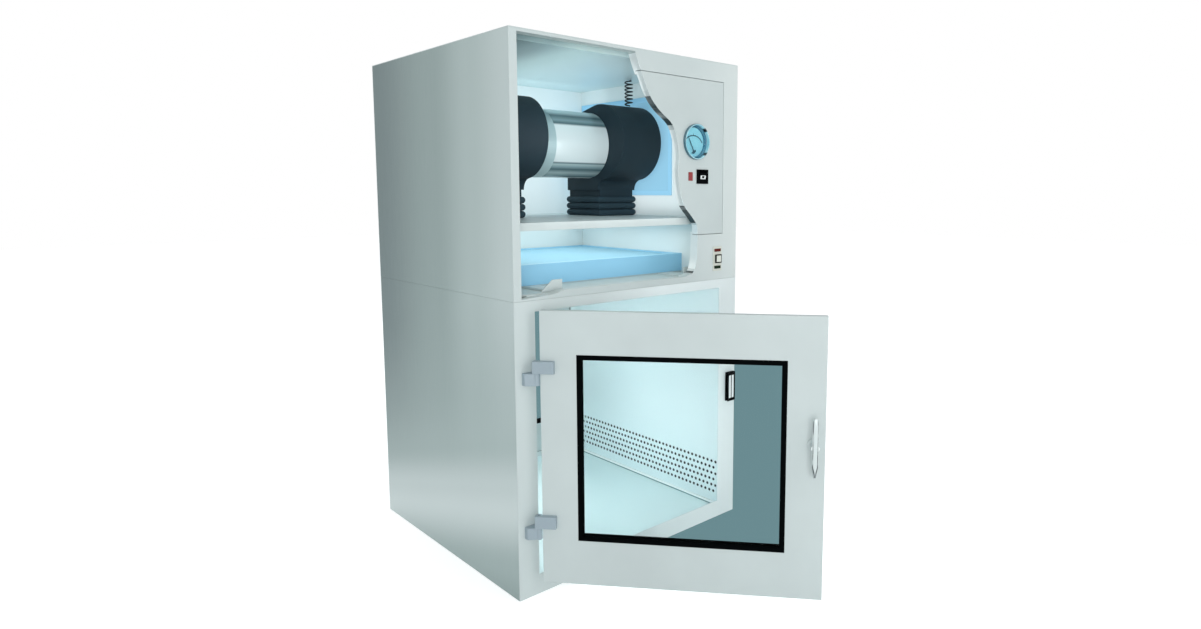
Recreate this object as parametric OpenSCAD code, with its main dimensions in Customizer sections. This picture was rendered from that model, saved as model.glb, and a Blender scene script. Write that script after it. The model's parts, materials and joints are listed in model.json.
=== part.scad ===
// Cleanroom pass box, shown as a sectioned display unit.
// A transfer chamber with a door on each side stands under a fan compartment. Air leaves the
// chamber through a perforated band in the right wall, rises in the duct behind it, passes the
// pre-filter, the twin blower and the main filter, and comes back down through the ceiling.
// Millimetres, +X to the right and +Z up as seen from the front, which faces -Y.
// The origin is the middle of the base, at floor level.

/* [Cabinet] */
// Width of the cabinet
cabinet_w = 720; // [690:1:760]
// Depth of the cabinet, front face to rear face
cabinet_d = 680; // [665:1:720]
// Height of the lower module, which holds the chamber
lower_h = 675; // [665:1:700]
// Height of the upper module, which holds the fan and filters
upper_h = 575; // [570:1:620]
// Thickness of the outer sheet metal
sheet_t = 2; // [1:0.25:3]
// Open joint line between the two modules
seam_gap = 0.3; // [0.3:0.1:1.5]

/* [Chamber] */
// Width of the face left of the chamber mouth
jamb_left = 53; // [50:1:60]
// Width of the face right of the chamber mouth
jamb_right = 67; // [66:1:74]
// Height of the sill's top edge
sill_top = 46; // [40:1:60]
// Height of the top edge of the chamber mouth
mouth_top = 650; // [630:1:655]
// Thickness of the front and rear face frames
frame_t = 3; // [2:0.5:5]
// Thickness of the inner liner sheets
liner_t = 1.5; // [1:0.25:2.5]
// How far a liner stands back behind the edge of the mouth
liner_setback = 1.5; // [0.5:0.25:3]
// Clearance of a liner in the foot of the upper module
liner_clear = 0.5; // [0.2:0.1:1]
// Height of the chamber floor
floor_top = 30; // [26:1:36]
// Height of the kick strips along the foot of the walls
kick_h = 7; // [5:0.5:12]
// Thickness of the kick strips
kick_t = 4.5; // [3:0.5:8]
// Shadow gap under the kick strips
kick_gap = 3; // [1:0.5:5]
// Width of a base rail
rail_w = 30; // [20:1:40]
// Wall of a base rail
rail_wall = 2; // [1.5:0.25:3]

/* [Return air grille] */
// Bottom edge of the grille panel
grille_bottom = 52; // [48:1:60]
// Top edge of the grille panel
grille_top = 172; // [170:1:190]
// Diameter of a grille hole
grille_hole_d = 8; // [4:0.5:10]
// Hole spacing along the wall
grille_pitch = 15.2; // [12:0.1:20]
// Spacing of the rows
grille_row_pitch = 17.2; // [12:0.1:20]
// Number of rows
grille_rows = 6; // [2:1:6]
// Height of the lowest row
grille_first_z = 69; // [65:1:75]
// Distance of the first hole from the face frame
grille_edge = 6; // [5:0.5:12]

/* [Chamber ceiling] */
// Diameter of a hole in the ceiling diffuser
diffuser_hole_d = 14; // [8:1:18]
// Hole spacing in the diffuser
diffuser_pitch = 40; // [32:1:60]
// Length of the lamp
lamp_len = 400; // [300:10:480]
// Radius of the lamp tube
lamp_tube_r = 8; // [6:0.5:10]

/* [Doors] */
// How far a door leaf overlaps the mouth at the hinge side
door_overlap = 6; // [4:0.5:8]
// How far a door leaf overlaps the mouth at the handle side
door_reach = 5; // [3:0.5:8]
// Height of a door's bottom edge
door_bottom = 41; // [39:0.5:43]
// Height of a door's top edge
door_top = 656; // [653:0.5:660]
// Thickness of a door leaf
leaf_t = 18; // [16:0.5:22]
// Thickness of a leaf's sheet metal
leaf_sheet = 1.5; // [1:0.25:2]
// Space between a closed leaf and the face frame
seal_space = 2; // [1.5:0.25:4]
// Width of the seal around the back of a leaf
seal_w = 5; // [3:0.5:6]
// Clearance of the closed seal
seal_clear = 0.3; // [0.2:0.05:0.5]
// Distance from the leaf's edges to the window gasket, left and right
window_side = 80.5; // [70:0.5:100]
// Distance from the leaf's bottom edge to the window gasket
window_low = 101; // [80:1:130]
// Distance from the leaf's top edge to the window gasket
window_high = 95; // [80:1:130]
// Width of the visible window gasket
gasket_w = 11; // [8:0.5:16]
// How far the window gasket stands proud of the leaf
gasket_proud = 1.5; // [0.5:0.25:3]
// Thickness of the window glass
glass_t = 6; // [4:0.5:8]
// Angle at which the front door stands open
rest_angle = 50.4; // [20:0.1:80]

/* [Hinges] */
// Distance from the hinge axis to the leaf's edge
hinge_edge = 7.5; // [7.5:0.25:12]
// Distance of the hinge axis in front of the leaf
hinge_front = 2; // [0:0.25:5]
// Radius of a hinge knuckle
knuckle_r = 7; // [6:0.25:7]
// Radius of a hinge pin
pin_r = 4; // [3:0.25:5]
// Running clearance of a pin in the door half
pin_clear = 0.05; // [0.02:0.01:0.1]
// Fitting clearance of a pin in the frame half
pin_fit = 0.01; // [0.01:0.01:0.05]
// Height of one hinge half
hinge_h = 27; // [20:1:40]
// Thickness of the collar between the halves
collar_t = 1; // [0.5:0.25:2]
// Height at which the lower hinge is split
hinge_low_z = 170; // [120:1:220]
// Height at which the upper hinge is split
hinge_high_z = 519; // [480:1:560]
// How far a frame half reaches left of the hinge axis
frame_half_reach = 23.5; // [18:0.5:30]
// Thickness of a frame half at its outer end
frame_half_toe = 11; // [6:0.5:14]
// How far a door half reaches over the leaf
door_half_reach = 33; // [25:0.5:50]
// Thickness of a door half in front of the hinge axis
door_half_front = 11; // [8:0.5:16]

/* [Latch] */
// Distance from the free edge of the leaf to the handle's spindle
handle_inset = 23; // [18:0.5:30]
// Height of the handle's spindle
handle_z = 384; // [300:1:450]
// Length of the handle bar
handle_len = 131; // [100:1:160]
// Width of the handle bar
handle_w = 14; // [12:0.5:20]
// Thickness of the handle bar
handle_t = 8; // [5:0.5:12]
// Finger space between the leaf and the handle bar
handle_stand = 22; // [18:1:35]
// Radius of the spindle
spindle_r = 6; // [4:0.25:8]
// Running clearance of the spindle in the leaf
spindle_clear = 0.05; // [0.02:0.01:0.1]
// Length of the latch cam
cam_len = 62; // [55:1:66]
// Width of the latch cam
cam_w = 12; // [8:0.5:16]
// Thickness of the latch cam
cam_t = 3; // [2:0.25:4]
// Height of a keeper
keeper_h = 82; // [60:1:100]
// How far a keeper's middle lies below the spindle
keeper_drop = 15; // [0:1:22]
// Width of a keeper
keeper_w = 32; // [26:1:36]
// Distance from the free edge of a closed door to its keeper
keeper_gap = 23; // [20:0.5:28]
// Clearance of the cam in its keeper
cam_clear = 0.8; // [0.4:0.1:1.5]

/* [Front wall of the upper module] */
// Thickness of the insulated front wall
fascia_t = 26; // [20:1:32]
// Width of the stile left of the section
stile_w = 20; // [16:1:30]
// Height of the rail left above the section
top_rail_h = 8.5; // [8:0.5:18]
// Distance from the cabinet's right side to the access panel
access_edge = 55.5; // [50:0.5:62]
// Height of the access panel's bottom edge above the module's foot
access_low = 123; // [110:1:140]
// Height of the access panel's top edge above the module's foot
access_high = 525; // [500:1:540]
// Joint gap around the access panel
access_gap = 1.2; // [0.6:0.1:2]
// Thickness of the access panel
access_t = 20; // [12:1:23]
// Width of the lip that the access panel seats against
access_lip = 8; // [4:1:12]

/* [Main filter] */
// Height of the filter deck above the module's foot
deck_h = 9; // [8:0.5:14]
// Distance from the cabinet's front face to the filter
filter_front = 146; // [130:1:170]
// Room between the side panel and the filter
filter_side = 22.5; // [15:0.5:60]
// Height of the filter frame
filter_h = 50; // [40:1:70]
// Distance from the filter's left side to its left guide strip
rail_left = 87.5; // [70:0.5:200]
// Distance from the filter's right side to its right guide strip
rail_right = 46.5; // [35:0.5:80]
// Wall of the filter frame
filter_wall = 18; // [12:1:25]
// Thickness of the filter's gasket
filter_gasket_t = 3; // [2:0.5:6]
// Depth of the service space behind the inner rear wall
service_d = 72; // [60:1:90]

/* [Pre-filter] */
// Distance from the cabinet's front face to the pre-filter frame
prefilter_front = 187; // [150:1:220]
// Height of the pre-filter's bottom edge above the module's foot
prefilter_low = 226; // [200:1:260]
// Height of the pre-filter frame
prefilter_h = 286; // [240:1:300]
// Width of the frame's rim
prefilter_rim = 14; // [8:1:20]
// Thickness of the frame's flange
prefilter_flange = 3; // [2:0.5:5]
// Thickness of the pre-filter media
prefilter_t = 21; // [10:1:40]

/* [Blower] */
// Height of the blower shelf's top above the module's foot
shelf_h = 167.5; // [150:0.5:180]
// Height of the shelf's front flange
shelf_flange = 18; // [12:1:30]
// Distance from the cabinet's front face to the shelf
shelf_front = 30; // [28:1:50]
// Distance from the cabinet's front face to the blower axis
axis_y = 354; // [340:1:370]
// Height of the blower axis above the shelf
axis_h = 199; // [190:1:210]
// Room between the side panel and the left scroll
fan_left = 95; // [80:1:110]
// Room between the duct wall and the right scroll
fan_right = 31.5; // [28:0.5:45]
// Radius of the motor drum
motor_r = 92; // [70:1:94]
// Wall of the motor drum
motor_wall = 3; // [2:0.5:5]
// Length of the left end bell
left_bell = 70; // [30:1:80]
// Length of the right end bell
right_bell = 6; // [5:1:20]
// Width of a scroll housing
scroll_w = 140; // [130:1:150]
// Radius of the scroll about the blower axis
scroll_r = 101; // [98:1:106]
// Radius of the scroll's front lobe
lobe_r = 105; // [100:1:108]
// How far the lobe's centre lies in front of the axis
lobe_front = 50; // [40:1:55]
// How far the lobe's centre lies above the axis
lobe_up = 8; // [0:1:12]
// Wall of the scroll
scroll_wall = 2.5; // [1.5:0.25:4]
// Depth of the discharge neck, front to back
neck_d = 141; // [120:1:150]
// How far the discharge neck stands in from the scroll's sides
neck_inset = 8; // [6:0.5:20]
// Radius of the throat between lobe and neck
throat_r = 30; // [20:1:40]
// Height of the flexible neck
bellows_h = 56; // [50:1:64]
// Number of folds in the flexible neck
bellows_folds = 3; // [2:1:4]
// How far a fold stands out
fold_out = 9; // [3:0.5:11]
// Wall of the flexible neck
bellows_wall = 3; // [2:0.5:5]
// Radius of a scroll's air inlet
inlet_r = 62; // [50:1:70]
// Radius of a blower wheel
wheel_r = 78; // [60:1:84]
// Width of a blower wheel
wheel_w = 110; // [80:1:120]
// Number of blades on a wheel
blades = 20; // [12:1:28]
// Radius of the blower shaft
shaft_r = 8; // [6:0.5:10]
// Running clearance of the shaft in its bearings
shaft_clear = 0.05; // [0.02:0.01:0.1]
// Running clearance between rotor and stator
air_gap = 0.5; // [0.3:0.1:1]

/* [Hanger springs] */
// Radius of the coil to the middle of the wire
spring_r = 11; // [8:0.5:14]
// Radius of the spring wire
wire_r = 1.5; // [1:0.1:2]
// Number of turns
spring_turns = 7; // [5:1:9]
// How far the springs hang in front of the blower axis
spring_front = 62; // [50:1:75]
// How far a spring hangs outside the motor's end
spring_out = 100; // [80:1:120]

/* [Control box] */
// Distance from the cabinet's left side to the control box
box_x = 80; // [30:1:200]
// Width of the control box
box_w = 220; // [150:1:300]
// Height of the control box's bottom above the module's foot
box_z = 120; // [60:1:180]
// Height of the control box
box_h = 240; // [150:1:320]
// Room between the control box and the back panel
box_room = 8; // [4:0.5:20]

/* [Pressure gauge] */
// Distance from the cabinet's right side to the gauge's centre
gauge_edge = 162; // [140:0.5:170]
// Height of the gauge's centre above the module's foot
gauge_z = 364; // [340:1:390]
// Radius of the gauge's bezel
gauge_flange_r = 46; // [45:0.5:50]
// Radius of the gauge's body in the panel
gauge_r = 43.7; // [42:0.1:44]
// Wall of the gauge's body
gauge_wall = 1.5; // [1:0.25:2]
// Clearance of the gauge's body in the panel
gauge_clear = 0.3; // [0.1:0.1:0.6]
// How far the bezel stands proud of the panel
gauge_proud = 8; // [5:1:12]
// How far the ring around the dial lies behind the panel's face
ring_y = 3; // [0:1:6]
// Inner radius of the ring around the dial
ring_r = 38; // [36:0.5:39]
// Thickness of the gauge's glass
gauge_glass_t = 2; // [1.5:0.25:3]
// How far the needle's pivot lies under the gauge's centre
pivot_drop = 23; // [15:1:25]
// Clearance of the gauge's glass in its case
glass_clear = 0.1; // [0.05:0.05:0.3]
// Length of the needle
needle_len = 42; // [35:1:44]
// Angle at which the needle stands, left of upright
needle_rest = 30; // [0:1:50]

/* [Controls] */
// Distance from the cabinet's right side to the power lamp's centre
lamp_edge = 182; // [175:0.5:184]
// Distance from the cabinet's right side to the switch's centre
switch_edge = 138; // [125:0.5:142]
// Height of the switch and the power lamp above the module's foot
switch_z = 275; // [255:1:285]
// Width of the switch
switch_w = 42; // [30:1:46]
// Height of the switch
switch_h = 37; // [30:1:42]
// Distance from the cabinet's right side to the door controls
button_edge = 77; // [70:0.5:85]
// Height of the interlock button above the module's foot
button_z = 56; // [48:1:64]
// Side of the interlock button's cap
button_side = 17; // [12:1:20]
// Travel of the interlock button
button_travel = 3; // [2:0.5:4]

/* [Hidden] */
$fn = 64;
// Overlap of cutting tools beyond the faces that they cut
cut = 1;

// Heights of the modules
cabinet_h = lower_h + upper_h;
foot_z = lower_h;

// Chamber
mouth_left = jamb_left;
mouth_right = cabinet_w - jamb_right;
liner_left = mouth_left - liner_setback;
liner_right = mouth_right + liner_setback;
duct_x = liner_right + liner_t;
deck_z = foot_z + deck_h;
diffuser_z = mouth_top + liner_setback;
inside_front = frame_t;
inside_rear = cabinet_d - frame_t;

// Doors
leaf_front = hinge_front;
leaf_back = leaf_front + leaf_t;
hinge_x = mouth_left - door_overlap - hinge_edge;
hinge_y = -(seal_space + leaf_back);
leaf_x = hinge_edge;
door_w = mouth_right + door_reach - hinge_x - leaf_x;
window_x = [leaf_x + window_side, leaf_x + door_w - window_side];
window_z = [door_bottom + window_low, door_top - window_high];
latch_x = leaf_x + door_w - handle_inset;
cam_y = leaf_back - leaf_sheet - cam_clear - cam_t;
keeper_x = hinge_x + leaf_x + door_w + keeper_gap;
lip_front = hinge_y + cam_y - cam_clear - leaf_sheet;

// Upper module
inner_rear_y = cabinet_d - service_d;
ceiling_z = cabinet_h - 20;
prefilter_z = foot_z + prefilter_low;
prefilter_back = inner_rear_y - 6;
filter_x = [sheet_t + filter_side, liner_right];
filter_back = inner_rear_y - liner_t - 1;
filter_z = deck_z + filter_gasket_t;
shelf_z = foot_z + shelf_h;

// Blower
axis_z = shelf_z + axis_h;
motor_x = [sheet_t + fan_left + scroll_w, liner_right - fan_right - scroll_w];
motor_len = motor_x[1] - motor_x[0];
neck_w = scroll_w - 2 * neck_inset;
scroll_x = [motor_x[0] - scroll_w, motor_x[1]];
neck_front = -(neck_d - scroll_r);
neck_top = bellows_h - axis_h;
throat_y = neck_front - throat_r;
throat_z = lobe_up - sqrt(pow(lobe_r + throat_r, 2) - pow(throat_y + lobe_front, 2));

// Controls
gauge_x = cabinet_w - gauge_edge;
gauge_cz = foot_z + gauge_z;
seat_y = ring_y + gauge_glass_t + 0.5;
dial_y = seat_y + 4.5;
lamp_x = cabinet_w - lamp_edge;
switch_x = cabinet_w - switch_edge;
switch_cz = foot_z + switch_z;
button_x = cabinet_w - button_edge;
button_cz = foot_z + button_z;
plate_t = 1.5;

// Moves a piece drawn from the cabinet's front left foot into the part's frame
module cabinet_corner() {
    translate([-cabinet_w / 2, -cabinet_d / 2, 0]) children();
}

// What mirror() takes to keep a piece on the front, and to put it on the rear
front = [0, 0, 0];
rear = [0, 1, 0];

// A box between two opposite corners
module block(low, high) {
    translate(low) cube(high - low);
}

// A box with a smaller box taken out of it
module open_block(low, high, hole_low, hole_high) {
    difference() {
        block(low, high);
        block(hole_low, hole_high);
    }
}

// A round bar along +Y from a point
module bar_y(point, r, length) {
    translate(point) rotate([-90, 0, 0]) cylinder(h = length, r = r);
}

// A round bar along +X from a point
module bar_x(point, r, length) {
    translate(point) rotate([0, 90, 0]) cylinder(h = length, r = r);
}

// A ring in the plane of a door leaf, from its inner and outer edges
module leaf_ring(x, z, width, y) {
    open_block([x[0], y[0], z[0]], [x[1], y[1], z[1]],
               [x[0] + width, y[0] - cut, z[0] + width],
               [x[1] - width, y[1] + cut, z[1] - width]);
}

// ---------- Lower module ----------

module base_plate() {
    color([0.62, 0.66, 0.67])
        cabinet_corner()
            block([sheet_t, frame_t, 0], [cabinet_w - sheet_t, inside_rear, sheet_t]);
}

module base_rails() {
    color([0.5, 0.53, 0.54])
        cabinet_corner()
            for (x = [liner_left, (cabinet_w - rail_w) / 2, liner_right - rail_w])
                open_block([x, inside_front, sheet_t],
                           [x + rail_w, inside_rear, floor_top - liner_t],
                           [x + rail_wall, inside_front - cut, sheet_t + rail_wall],
                           [x + rail_w - rail_wall, inside_rear + cut, floor_top - liner_t - rail_wall]);
}

module lower_side_panels() {
    color([0.66, 0.70, 0.71])
        cabinet_corner()
            for (x = [0, cabinet_w - sheet_t])
                block([x, frame_t, 0], [x + sheet_t, inside_rear, foot_z - seam_gap]);
}

// The plate around a chamber mouth
module face_frame() {
    open_block([0, 0, 0], [cabinet_w, frame_t, foot_z - seam_gap],
               [mouth_left, -cut, sill_top], [mouth_right, frame_t + cut, mouth_top]);
}

module front_face_frame() {
    color([0.78, 0.82, 0.82])
        cabinet_corner() face_frame();
}

module rear_face_frame() {
    color([0.78, 0.82, 0.82])
        mirror([0, 1, 0]) cabinet_corner() face_frame();
}

// A liner sheet, which narrows where it rises into the foot of the upper module
module liner_sheet(x, low) {
    block([x, inside_front, low], [x + liner_t, inside_rear, foot_z - seam_gap]);
    block([x, fascia_t + liner_clear, foot_z - seam_gap],
          [x + liner_t, cabinet_d - sheet_t - rail_wall - liner_clear, deck_z - sheet_t]);
}

module side_liners() {
    color([0.86, 0.93, 0.94])
        cabinet_corner() {
            liner_sheet(liner_left - liner_t, floor_top);
            liner_sheet(liner_right, grille_top);
            block([liner_right, inside_front, floor_top], [duct_x, inside_rear, grille_bottom]);
        }
}

module return_grille() {
    first_y = inside_front + grille_edge;
    columns = floor((inside_rear - grille_edge - first_y) / grille_pitch);
    color([0.86, 0.93, 0.94])
        cabinet_corner()
            difference() {
                block([liner_right, inside_front, grille_bottom], [duct_x, inside_rear, grille_top]);
                for (row = [0 : grille_rows - 1], column = [0 : columns - 1]) {
                    shift = (row % 2 == 0) ? grille_pitch / 2 : 0;
                    bar_x([liner_right - cut, first_y + column * grille_pitch + shift,
                           grille_first_z + row * grille_row_pitch], grille_hole_d / 2, liner_t + 2 * cut);
                }
            }
}

module chamber_floor() {
    color([0.80, 0.91, 0.92])
        cabinet_corner()
            block([liner_left - liner_t, inside_front, floor_top - liner_t],
                  [duct_x, inside_rear, floor_top]);
}

module kick_strips() {
    color([0.88, 0.97, 0.97])
        cabinet_corner()
            for (x = [liner_left, liner_right - kick_t])
                block([x, inside_front, floor_top + kick_gap],
                      [x + kick_t, inside_rear, floor_top + kick_gap + kick_h]);
}

module ceiling_diffuser() {
    span_x = liner_right - liner_left - diffuser_pitch;
    span_y = inside_rear - inside_front - diffuser_pitch;
    count_x = floor(span_x / diffuser_pitch);
    count_y = floor(span_y / diffuser_pitch);
    color([0.84, 0.91, 0.92])
        cabinet_corner()
            difference() {
                block([liner_left, inside_front, diffuser_z],
                      [liner_right, inside_rear, diffuser_z + liner_t]);
                translate([(liner_left + liner_right) / 2, cabinet_d / 2, diffuser_z - cut])
                    for (i = [0 : count_x], j = [0 : count_y])
                        translate(diffuser_pitch * [i - count_x / 2, j - count_y / 2, 0])
                            cylinder(h = liner_t + 2 * cut, d = diffuser_hole_d);
            }
}

module plenum_walls() {
    color([0.80, 0.88, 0.89])
        cabinet_corner()
            for (y = [fascia_t, cabinet_d - fascia_t - liner_t])
                block([liner_left, y, diffuser_z + liner_t], [liner_right, y + liner_t, deck_z - sheet_t]);
}

// The lamp hangs along the left of the chamber's ceiling
lamp_mid_y = cabinet_d / 2;
lamp_hang = 32;
lamp_body_w = 40;
lamp_axis = [liner_left + lamp_body_w / 2, diffuser_z - lamp_hang + lamp_tube_r + 2];
lamp_body_z = lamp_axis[1] + lamp_tube_r + 2;
holder_t = 12;
lamp_tube_len = lamp_len - 16;

module lamp_bulb() {
    bar_y([lamp_axis[0], lamp_mid_y - lamp_tube_len / 2, lamp_axis[1]], lamp_tube_r, lamp_tube_len);
}

module lamp_housing() {
    holder_w = lamp_body_w - 16;
    color([0.9, 0.92, 0.92])
        cabinet_corner() {
            block([liner_left, lamp_mid_y - lamp_len / 2, lamp_body_z],
                  [liner_left + lamp_body_w, lamp_mid_y + lamp_len / 2, diffuser_z]);
            difference() {
                for (y = [-lamp_len / 2, lamp_len / 2 - holder_t])
                    translate([lamp_axis[0] - holder_w / 2, lamp_mid_y + y, diffuser_z - lamp_hang])
                        cube([holder_w, holder_t, lamp_body_z - diffuser_z + lamp_hang]);
                lamp_bulb();
            }
        }
}

module lamp_tube() {
    color([0.95, 0.98, 1.0])
        cabinet_corner() lamp_bulb();
}

// A keeper is a channel beside the mouth, open towards it, that takes the latch cam
module keeper() {
    spine_x = keeper_x + keeper_w - 6;
    low = handle_z - keeper_h / 2 - keeper_drop;
    high = low + keeper_h;
    block([keeper_x, -leaf_sheet, low], [keeper_x + keeper_w, 0, high]);
    block([spine_x, lip_front, low], [keeper_x + keeper_w, -leaf_sheet, high]);
    block([keeper_x, lip_front, low], [spine_x, lip_front + leaf_sheet, high]);
}

module door_keepers() {
    color([0.1, 0.13, 0.14])
        for (side = [front, rear])
            mirror(side) cabinet_corner() keeper();
}

// Outline of a frame half seen from above, around the hinge axis
module frame_half_outline() {
    circle(r = knuckle_r);
    polygon([[-frame_half_reach, -hinge_y], [-frame_half_reach, -hinge_y - frame_half_toe],
             [0, -knuckle_r], [knuckle_r, 0], [knuckle_r, -hinge_y]]);
}

module frame_hinge_halves() {
    color([0.62, 0.69, 0.73])
        for (side = [front, rear])
            mirror(side) cabinet_corner()
                for (z = [hinge_low_z, hinge_high_z])
                    translate([hinge_x, hinge_y, z - collar_t / 2 - hinge_h])
                        difference() {
                            linear_extrude(hinge_h) frame_half_outline();
                            translate([0, 0, -cut]) cylinder(h = hinge_h + 2 * cut, r = pin_r + pin_fit);
                        }
}

module hinge_pins() {
    color([0.75, 0.77, 0.78])
        for (side = [front, rear])
            mirror(side) cabinet_corner()
                for (z = [hinge_low_z, hinge_high_z])
                    translate([hinge_x, hinge_y, z]) {
                        translate([0, 0, -collar_t / 2 - hinge_h])
                            cylinder(h = 2 * hinge_h + collar_t - 2, r = pin_r);
                        translate([0, 0, -collar_t / 2])
                            cylinder(h = collar_t - 0.05, r = knuckle_r - 0.5);
                    }
}

// ---------- Upper module ----------

module upper_side_panels() {
    color([0.66, 0.70, 0.71])
        cabinet_corner()
            for (x = [0, cabinet_w - sheet_t])
                block([x, sheet_t, foot_z], [x + sheet_t, cabinet_d - sheet_t, cabinet_h - sheet_t]);
}

module top_cover() {
    color([0.80, 0.84, 0.84])
        cabinet_corner()
            block([0, 0, cabinet_h - sheet_t], [cabinet_w, cabinet_d, cabinet_h]);
}

module upper_back_panel() {
    color([0.70, 0.74, 0.75])
        cabinet_corner()
            block([0, cabinet_d - sheet_t, foot_z], [cabinet_w, cabinet_d, cabinet_h - sheet_t]);
}

// Points of the sawn edge, as [distance from the right face, height above the foot]
section_right = [
    [373, 575], [370, 563], [352, 522], [323, 467], [292, 435], [246, 402], [227, 356], [223, 318],
    [226, 290], [219, 237], [204, 200], [176, 171], [157, 149], [154, 128], [154, 102], [158, 50],
    [172, 23], [200, 15.5]
];
// Points of its foot, as [distance from the left face, height above the foot]
section_foot = [[300, 16], [131, 15.5], [99, 8], [20, 4]];
section_steps = 4;

// A point on a smooth curve that passes through four points in turn
function curve_point(a, b, c, d, t) =
    0.5 * (2 * b + (c - a) * t + (2 * a - 5 * b + 4 * c - d) * t * t + (3 * b - a - 3 * c + d) * t * t * t);

function section_curve(p) = [
    for (i = [0 : len(p) - 3], s = [0 : section_steps - 1])
        curve_point(p[max(i - 1, 0)], p[i], p[i + 1], p[i + 2], s / section_steps),
    p[len(p) - 2],
    p[len(p) - 1]
];

// The part of the front wall that is sawn away to show the inside
module section_area() {
    top = upper_h - top_rail_h;
    edge = [for (p = section_right) [cabinet_w - p[0], p[1]]];
    intersection() {
        polygon(concat([[stile_w, upper_h]], section_curve(edge), section_foot));
        translate([stile_w, 0]) square([cabinet_w, top]);
    }
}

module section_cut() {
    translate([0, fascia_t + cut, foot_z]) rotate([90, 0, 0])
        linear_extrude(fascia_t + 2 * cut) section_area();
}

// The room of the access panel from the front to a depth, larger or smaller by one width all round
module access_room(grow, depth) {
    block([cabinet_w / 3, -cut, foot_z + access_low - grow],
          [cabinet_w - access_edge + grow, depth, foot_z + access_high + grow]);
}

module front_fascia() {
    color([0.78, 0.82, 0.82])
        cabinet_corner()
            difference() {
                union() {
                    block([0, 0, foot_z], [cabinet_w, sheet_t, cabinet_h - sheet_t]);
                    block([sheet_t, sheet_t, foot_z], [cabinet_w - sheet_t, fascia_t, cabinet_h - sheet_t]);
                }
                section_cut();
                access_room(0, access_t);
                access_room(-access_lip, fascia_t + cut);
                bar_y([button_x, -cut, button_cz], 4, fascia_t + 2 * cut);
            }
}

module access_panel() {
    color([0.79, 0.83, 0.83])
        cabinet_corner()
            difference() {
                intersection() {
                    access_room(-access_gap, access_t);
                    block([0, 0, foot_z], [cabinet_w, fascia_t, cabinet_h]);
                }
                section_cut();
                bar_y([gauge_x, -cut, gauge_cz], gauge_r + gauge_clear, fascia_t + 2 * cut);
                block([switch_x - switch_w / 2 + 3, -cut, switch_cz - switch_h / 2 + 3],
                      [switch_x + switch_w / 2 - 3, fascia_t + cut, switch_cz + switch_h / 2 - 3]);
            }
}

module ceiling_liner() {
    color([0.55, 0.68, 0.69])
        cabinet_corner()
            union() {
                block([sheet_t, fascia_t, ceiling_z],
                      [cabinet_w - sheet_t, cabinet_d - sheet_t, ceiling_z + liner_t]);
                block([sheet_t, fascia_t, ceiling_z],
                      [cabinet_w - sheet_t, fascia_t + liner_t, cabinet_h - sheet_t]);
            }
}

module inner_rear_wall() {
    color([0.84, 0.91, 0.91])
        cabinet_corner()
            block([sheet_t, inner_rear_y, deck_z], [duct_x, inner_rear_y + liner_t, ceiling_z]);
}

module duct_wall() {
    color([0.84, 0.91, 0.91])
        cabinet_corner()
            open_block([liner_right, fascia_t, deck_z], [duct_x, inner_rear_y, ceiling_z],
                       [liner_right - cut, prefilter_front + prefilter_rim, prefilter_z + prefilter_rim],
                       [duct_x + cut, prefilter_back - prefilter_rim,
                        prefilter_z + prefilter_h - prefilter_rim]);
}

module prefilter_frame() {
    color([0.60, 0.80, 0.93])
        cabinet_corner()
            open_block([liner_right - prefilter_flange, prefilter_front, prefilter_z],
                       [liner_right, prefilter_back, prefilter_z + prefilter_h],
                       [liner_right - prefilter_flange - cut, prefilter_front + prefilter_rim,
                        prefilter_z + prefilter_rim],
                       [liner_right + cut, prefilter_back - prefilter_rim,
                        prefilter_z + prefilter_h - prefilter_rim]);
}

module prefilter_media() {
    front_x = liner_right - prefilter_flange + 1;
    color([0.55, 0.78, 0.94])
        cabinet_corner()
            block([front_x, prefilter_front + prefilter_rim, prefilter_z + prefilter_rim],
                  [front_x + prefilter_t, prefilter_back - prefilter_rim,
                   prefilter_z + prefilter_h - prefilter_rim]);
}

// The deck carries the main filter over a wide air outlet
module filter_deck() {
    skirt = deck_h - sheet_t;
    color([0.76, 0.83, 0.83])
        cabinet_corner() {
            difference() {
                block([sheet_t, fascia_t, deck_z - sheet_t], [duct_x, cabinet_d - sheet_t, deck_z]);
                block([filter_x[0] + filter_wall, filter_front + filter_wall, deck_z - sheet_t - cut],
                      [filter_x[1] - filter_wall, filter_back - filter_wall, deck_z + cut]);
            }
            block([sheet_t, fascia_t, foot_z], [sheet_t + rail_wall, cabinet_d - sheet_t, foot_z + skirt]);
            block([sheet_t + rail_wall, cabinet_d - sheet_t - rail_wall, foot_z],
                  [duct_x, cabinet_d - sheet_t, foot_z + skirt]);
        }
}

// Two strips on the deck guide the filter in from the front
rail_x = [filter_x[0] + rail_left, filter_x[1] - rail_right];
rail_h = 3;
module filter_rails() {
    color([0.80, 0.86, 0.86])
        cabinet_corner()
            for (x = rail_x)
                block([x - 2, clamp_y + clamp_t, deck_z], [x + 2, filter_front, deck_z + rail_h]);
}

// A clamp is a sloped plate on a foot that reaches back to the filter's gasket
clamp_y = 44;
clamp_t = 3;
clamp_h = 26;
clamp_w = 60;
module clamp() {
    rotate([90, 0, 0]) translate([0, 0, -clamp_t])
        linear_extrude(clamp_t) polygon([[0, 0], [clamp_w, 0], [clamp_w, clamp_h], [clamp_w - 28, clamp_h]]);
    block([20, clamp_t, 0], [clamp_w, filter_front - clamp_y, clamp_t]);
}

module filter_clamps() {
    color([0.86, 0.90, 0.89])
        cabinet_corner() {
            translate([rail_x[0] - 12, clamp_y, deck_z]) clamp();
            translate([rail_x[1] + 12, clamp_y, deck_z]) mirror([1, 0, 0]) clamp();
        }
}

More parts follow.
